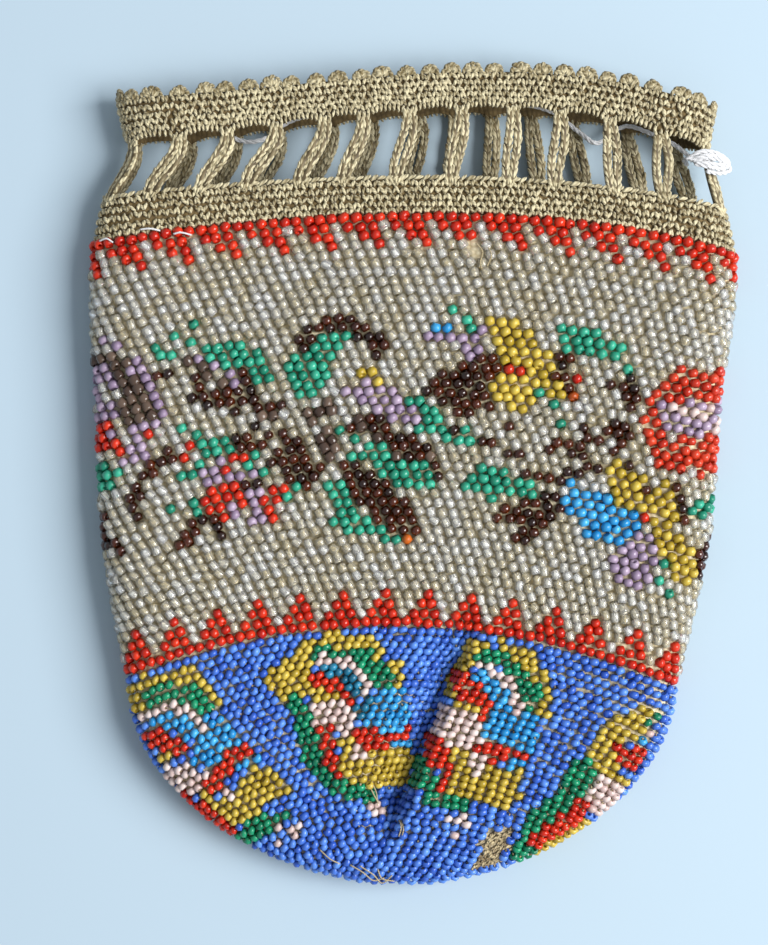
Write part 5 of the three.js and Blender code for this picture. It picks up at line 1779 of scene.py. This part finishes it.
@dataclass
class LooseThreads:
    """Sewing thread at the seam and loose ends of ground thread where beads have gone.

    Each run is charted as the figures are, with its lift above the outside of the beadwork.
    """

    white_radius: float = 0.17
    tan_radius: float = 0.12
    sides: int = 6
    steps: int = 6
    tone: float = 0.8
    white_runs: tuple[tuple[Place, ...], ...] = (
        ((-56.8, 41.6, -0.3), (-55.4, 41.9, 0.1), (-54.2, 41.2, -0.4)),
        ((-49.2, 43.4, -0.3), (-47.4, 43.5, 0.1), (-45.6, 43.2, -0.4)),
        ((-43.2, 42.6, -0.3), (-41.8, 42.8, 0.1), (-40.0, 42.4, -0.4)),
    )
    tan_runs: tuple[tuple[Place, ...], ...] = (
        ((-8.0, -56.6, -0.2), (-7.4, -58.2, 0.5), (-6.4, -60.2, 0.0)),
        ((-7.4, -56.4, -0.3), (-6.8, -58.4, 0.2), (-6.6, -60.6, -0.3)),
        ((-3.2, -62.2, -0.3), (-2.4, -63.6, 0.5), (-2.8, -65.4, 0.0)),
        ((-2.6, -62.4, -0.4), (-2.0, -64.0, 0.3), (-2.2, -65.2, -0.2)),
        ((-17.0, -68.0, -0.3), (-15.2, -69.6, 0.2), (-13.4, -70.6, 0.0)),
        ((-11.6, -70.8, -0.3), (-9.2, -72.2, 0.3), (-7.4, -73.8, 0.3), (-5.4, -73.4, -0.2)),
        ((-9.8, -71.0, -0.2), (-7.4, -72.6, 0.2), (-5.8, -74.4, 0.2), (-4.0, -72.8, 0.0)),
        ((-6.6, -71.6, -0.3), (-5.8, -73.4, 0.2), (-3.6, -74.0, 0.0)),
        ((11.0, 41.0, -0.4), (12.2, 39.4, 0.0), (11.8, 37.4, -0.1), (12.4, 35.6, -0.6)),
        ((13.2, 40.4, -0.4), (13.8, 38.6, -0.1), (13.0, 36.8, -0.4)),
    )

    def place(self, run: tuple[Place, ...]) -> list[Place]:
        """Lays a charted run on the front of the bag.

        Args:
            run: Charted points, each with its lift.
        Returns:
            The points in the frame.
        """
        x, y, lift = np.array(run).T
        y = y - FORM.chart(np.zeros((1, 3)))[0, 1]
        return [*zip(x, y, lift + FORM.height(x, y, 0.0, np.ones(len(x))))]

    def build(self) -> None:
        """Lays the threads."""
        for name, runs, radius, finish, slot in (
                ("white_seam_stitches", self.white_runs, self.white_radius, COTTON, "white_cotton"),
                ("loose_ground_threads", self.tan_runs, self.tan_radius, GROUND_THREAD, "tan_ground")):
            bm = bmesh.new()
            bm.loops.layers.uv.new("UVMap")
            for run in runs:
                strand(bm, smooth_route(self.place(run), self.steps), radius, self.sides)
            settle(bm, name, finish.material(), (), np.full(len(bm.verts), self.tone))


@dataclass
class Studio:
    """A pale sheet, a large soft light from the right and a camera straight above, as in the photograph."""

    middle: Point = (-5.46, 0.81)
    frame_height: float = 172.0
    outline_height: float = 5.3
    lens: float = 70.0
    sensor: float = 36.0
    sheet_colour: str = "#B3C6D3"
    sheet_roughness: float = 0.95
    sheet_size: float = 4.0
    light_place: Place = (0.79, -0.03, 0.75)
    light_size: float = 0.7
    light_watts: float = 19.2
    room_colour: str = "#E6EEF6"
    room_strength: float = 0.46
    nearest: float = 0.01

    def build(self) -> None:
        """Sets the sheet, the lights and the camera."""
        scene = bpy.context.scene
        scene.view_settings.view_transform = "Standard"
        bm = bmesh.new()
        bmesh.ops.create_grid(bm, x_segments=1, y_segments=1, size=self.sheet_size / 2)
        mesh = mesh_of(bm, "pale_sheet")
        sheet = bpy.data.objects.new("pale_sheet", mesh)
        material = bpy.data.materials.new("matt_pale_card")
        material.use_nodes = True
        shader = material.node_tree.nodes["Principled BSDF"]
        shader.inputs["Base Color"].default_value = linear(self.sheet_colour)
        shader.inputs["Roughness"].default_value = self.sheet_roughness
        mesh.materials.append(material)
        scene.collection.objects.link(sheet)
        world = scene.world or bpy.data.worlds.new("soft_room")
        scene.world = world
        world.use_nodes = True
        sky = world.node_tree.nodes["Background"]
        sky.inputs["Color"].default_value = linear(self.room_colour)
        sky.inputs["Strength"].default_value = self.room_strength
        self.light(scene)
        distance = self.frame_height / self.sensor * self.lens
        camera_data = bpy.data.cameras.new("camera")
        camera_data.lens = self.lens
        camera_data.sensor_fit = "VERTICAL"
        camera_data.sensor_height = self.sensor
        camera_data.clip_start = self.nearest
        camera = bpy.data.objects.new("camera", camera_data)
        camera.location = Vector((self.middle[0], self.middle[1], self.outline_height + distance)) * MM
        scene.collection.objects.link(camera)
        scene.camera = camera

    def light(self, scene: bpy.types.Scene) -> None:
        """Adds the soft square light, which faces the bag.

        Args:
            scene: The scene that takes it.
        """
        data = bpy.data.lights.new("window_light", "AREA")
        data.size = self.light_size
        data.energy = self.light_watts
        lamp = bpy.data.objects.new("window_light", data)
        lamp.location = self.light_place
        lamp.rotation_euler = (-Vector(self.light_place)).to_track_quat("-Z", "Y").to_euler()
        scene.collection.objects.link(lamp)


def main() -> None:
    """Builds the studio and the bag in order."""
    logging.basicConfig(level=logging.INFO, format="%(message)s")
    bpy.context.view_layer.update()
    Studio().build()
    Drawstring().build()
    Ground().build()
    Header().build()
    Beadwork().build()
    LooseThreads().build()
    bpy.context.view_layer.update()


if __name__ == "__main__":
    main()
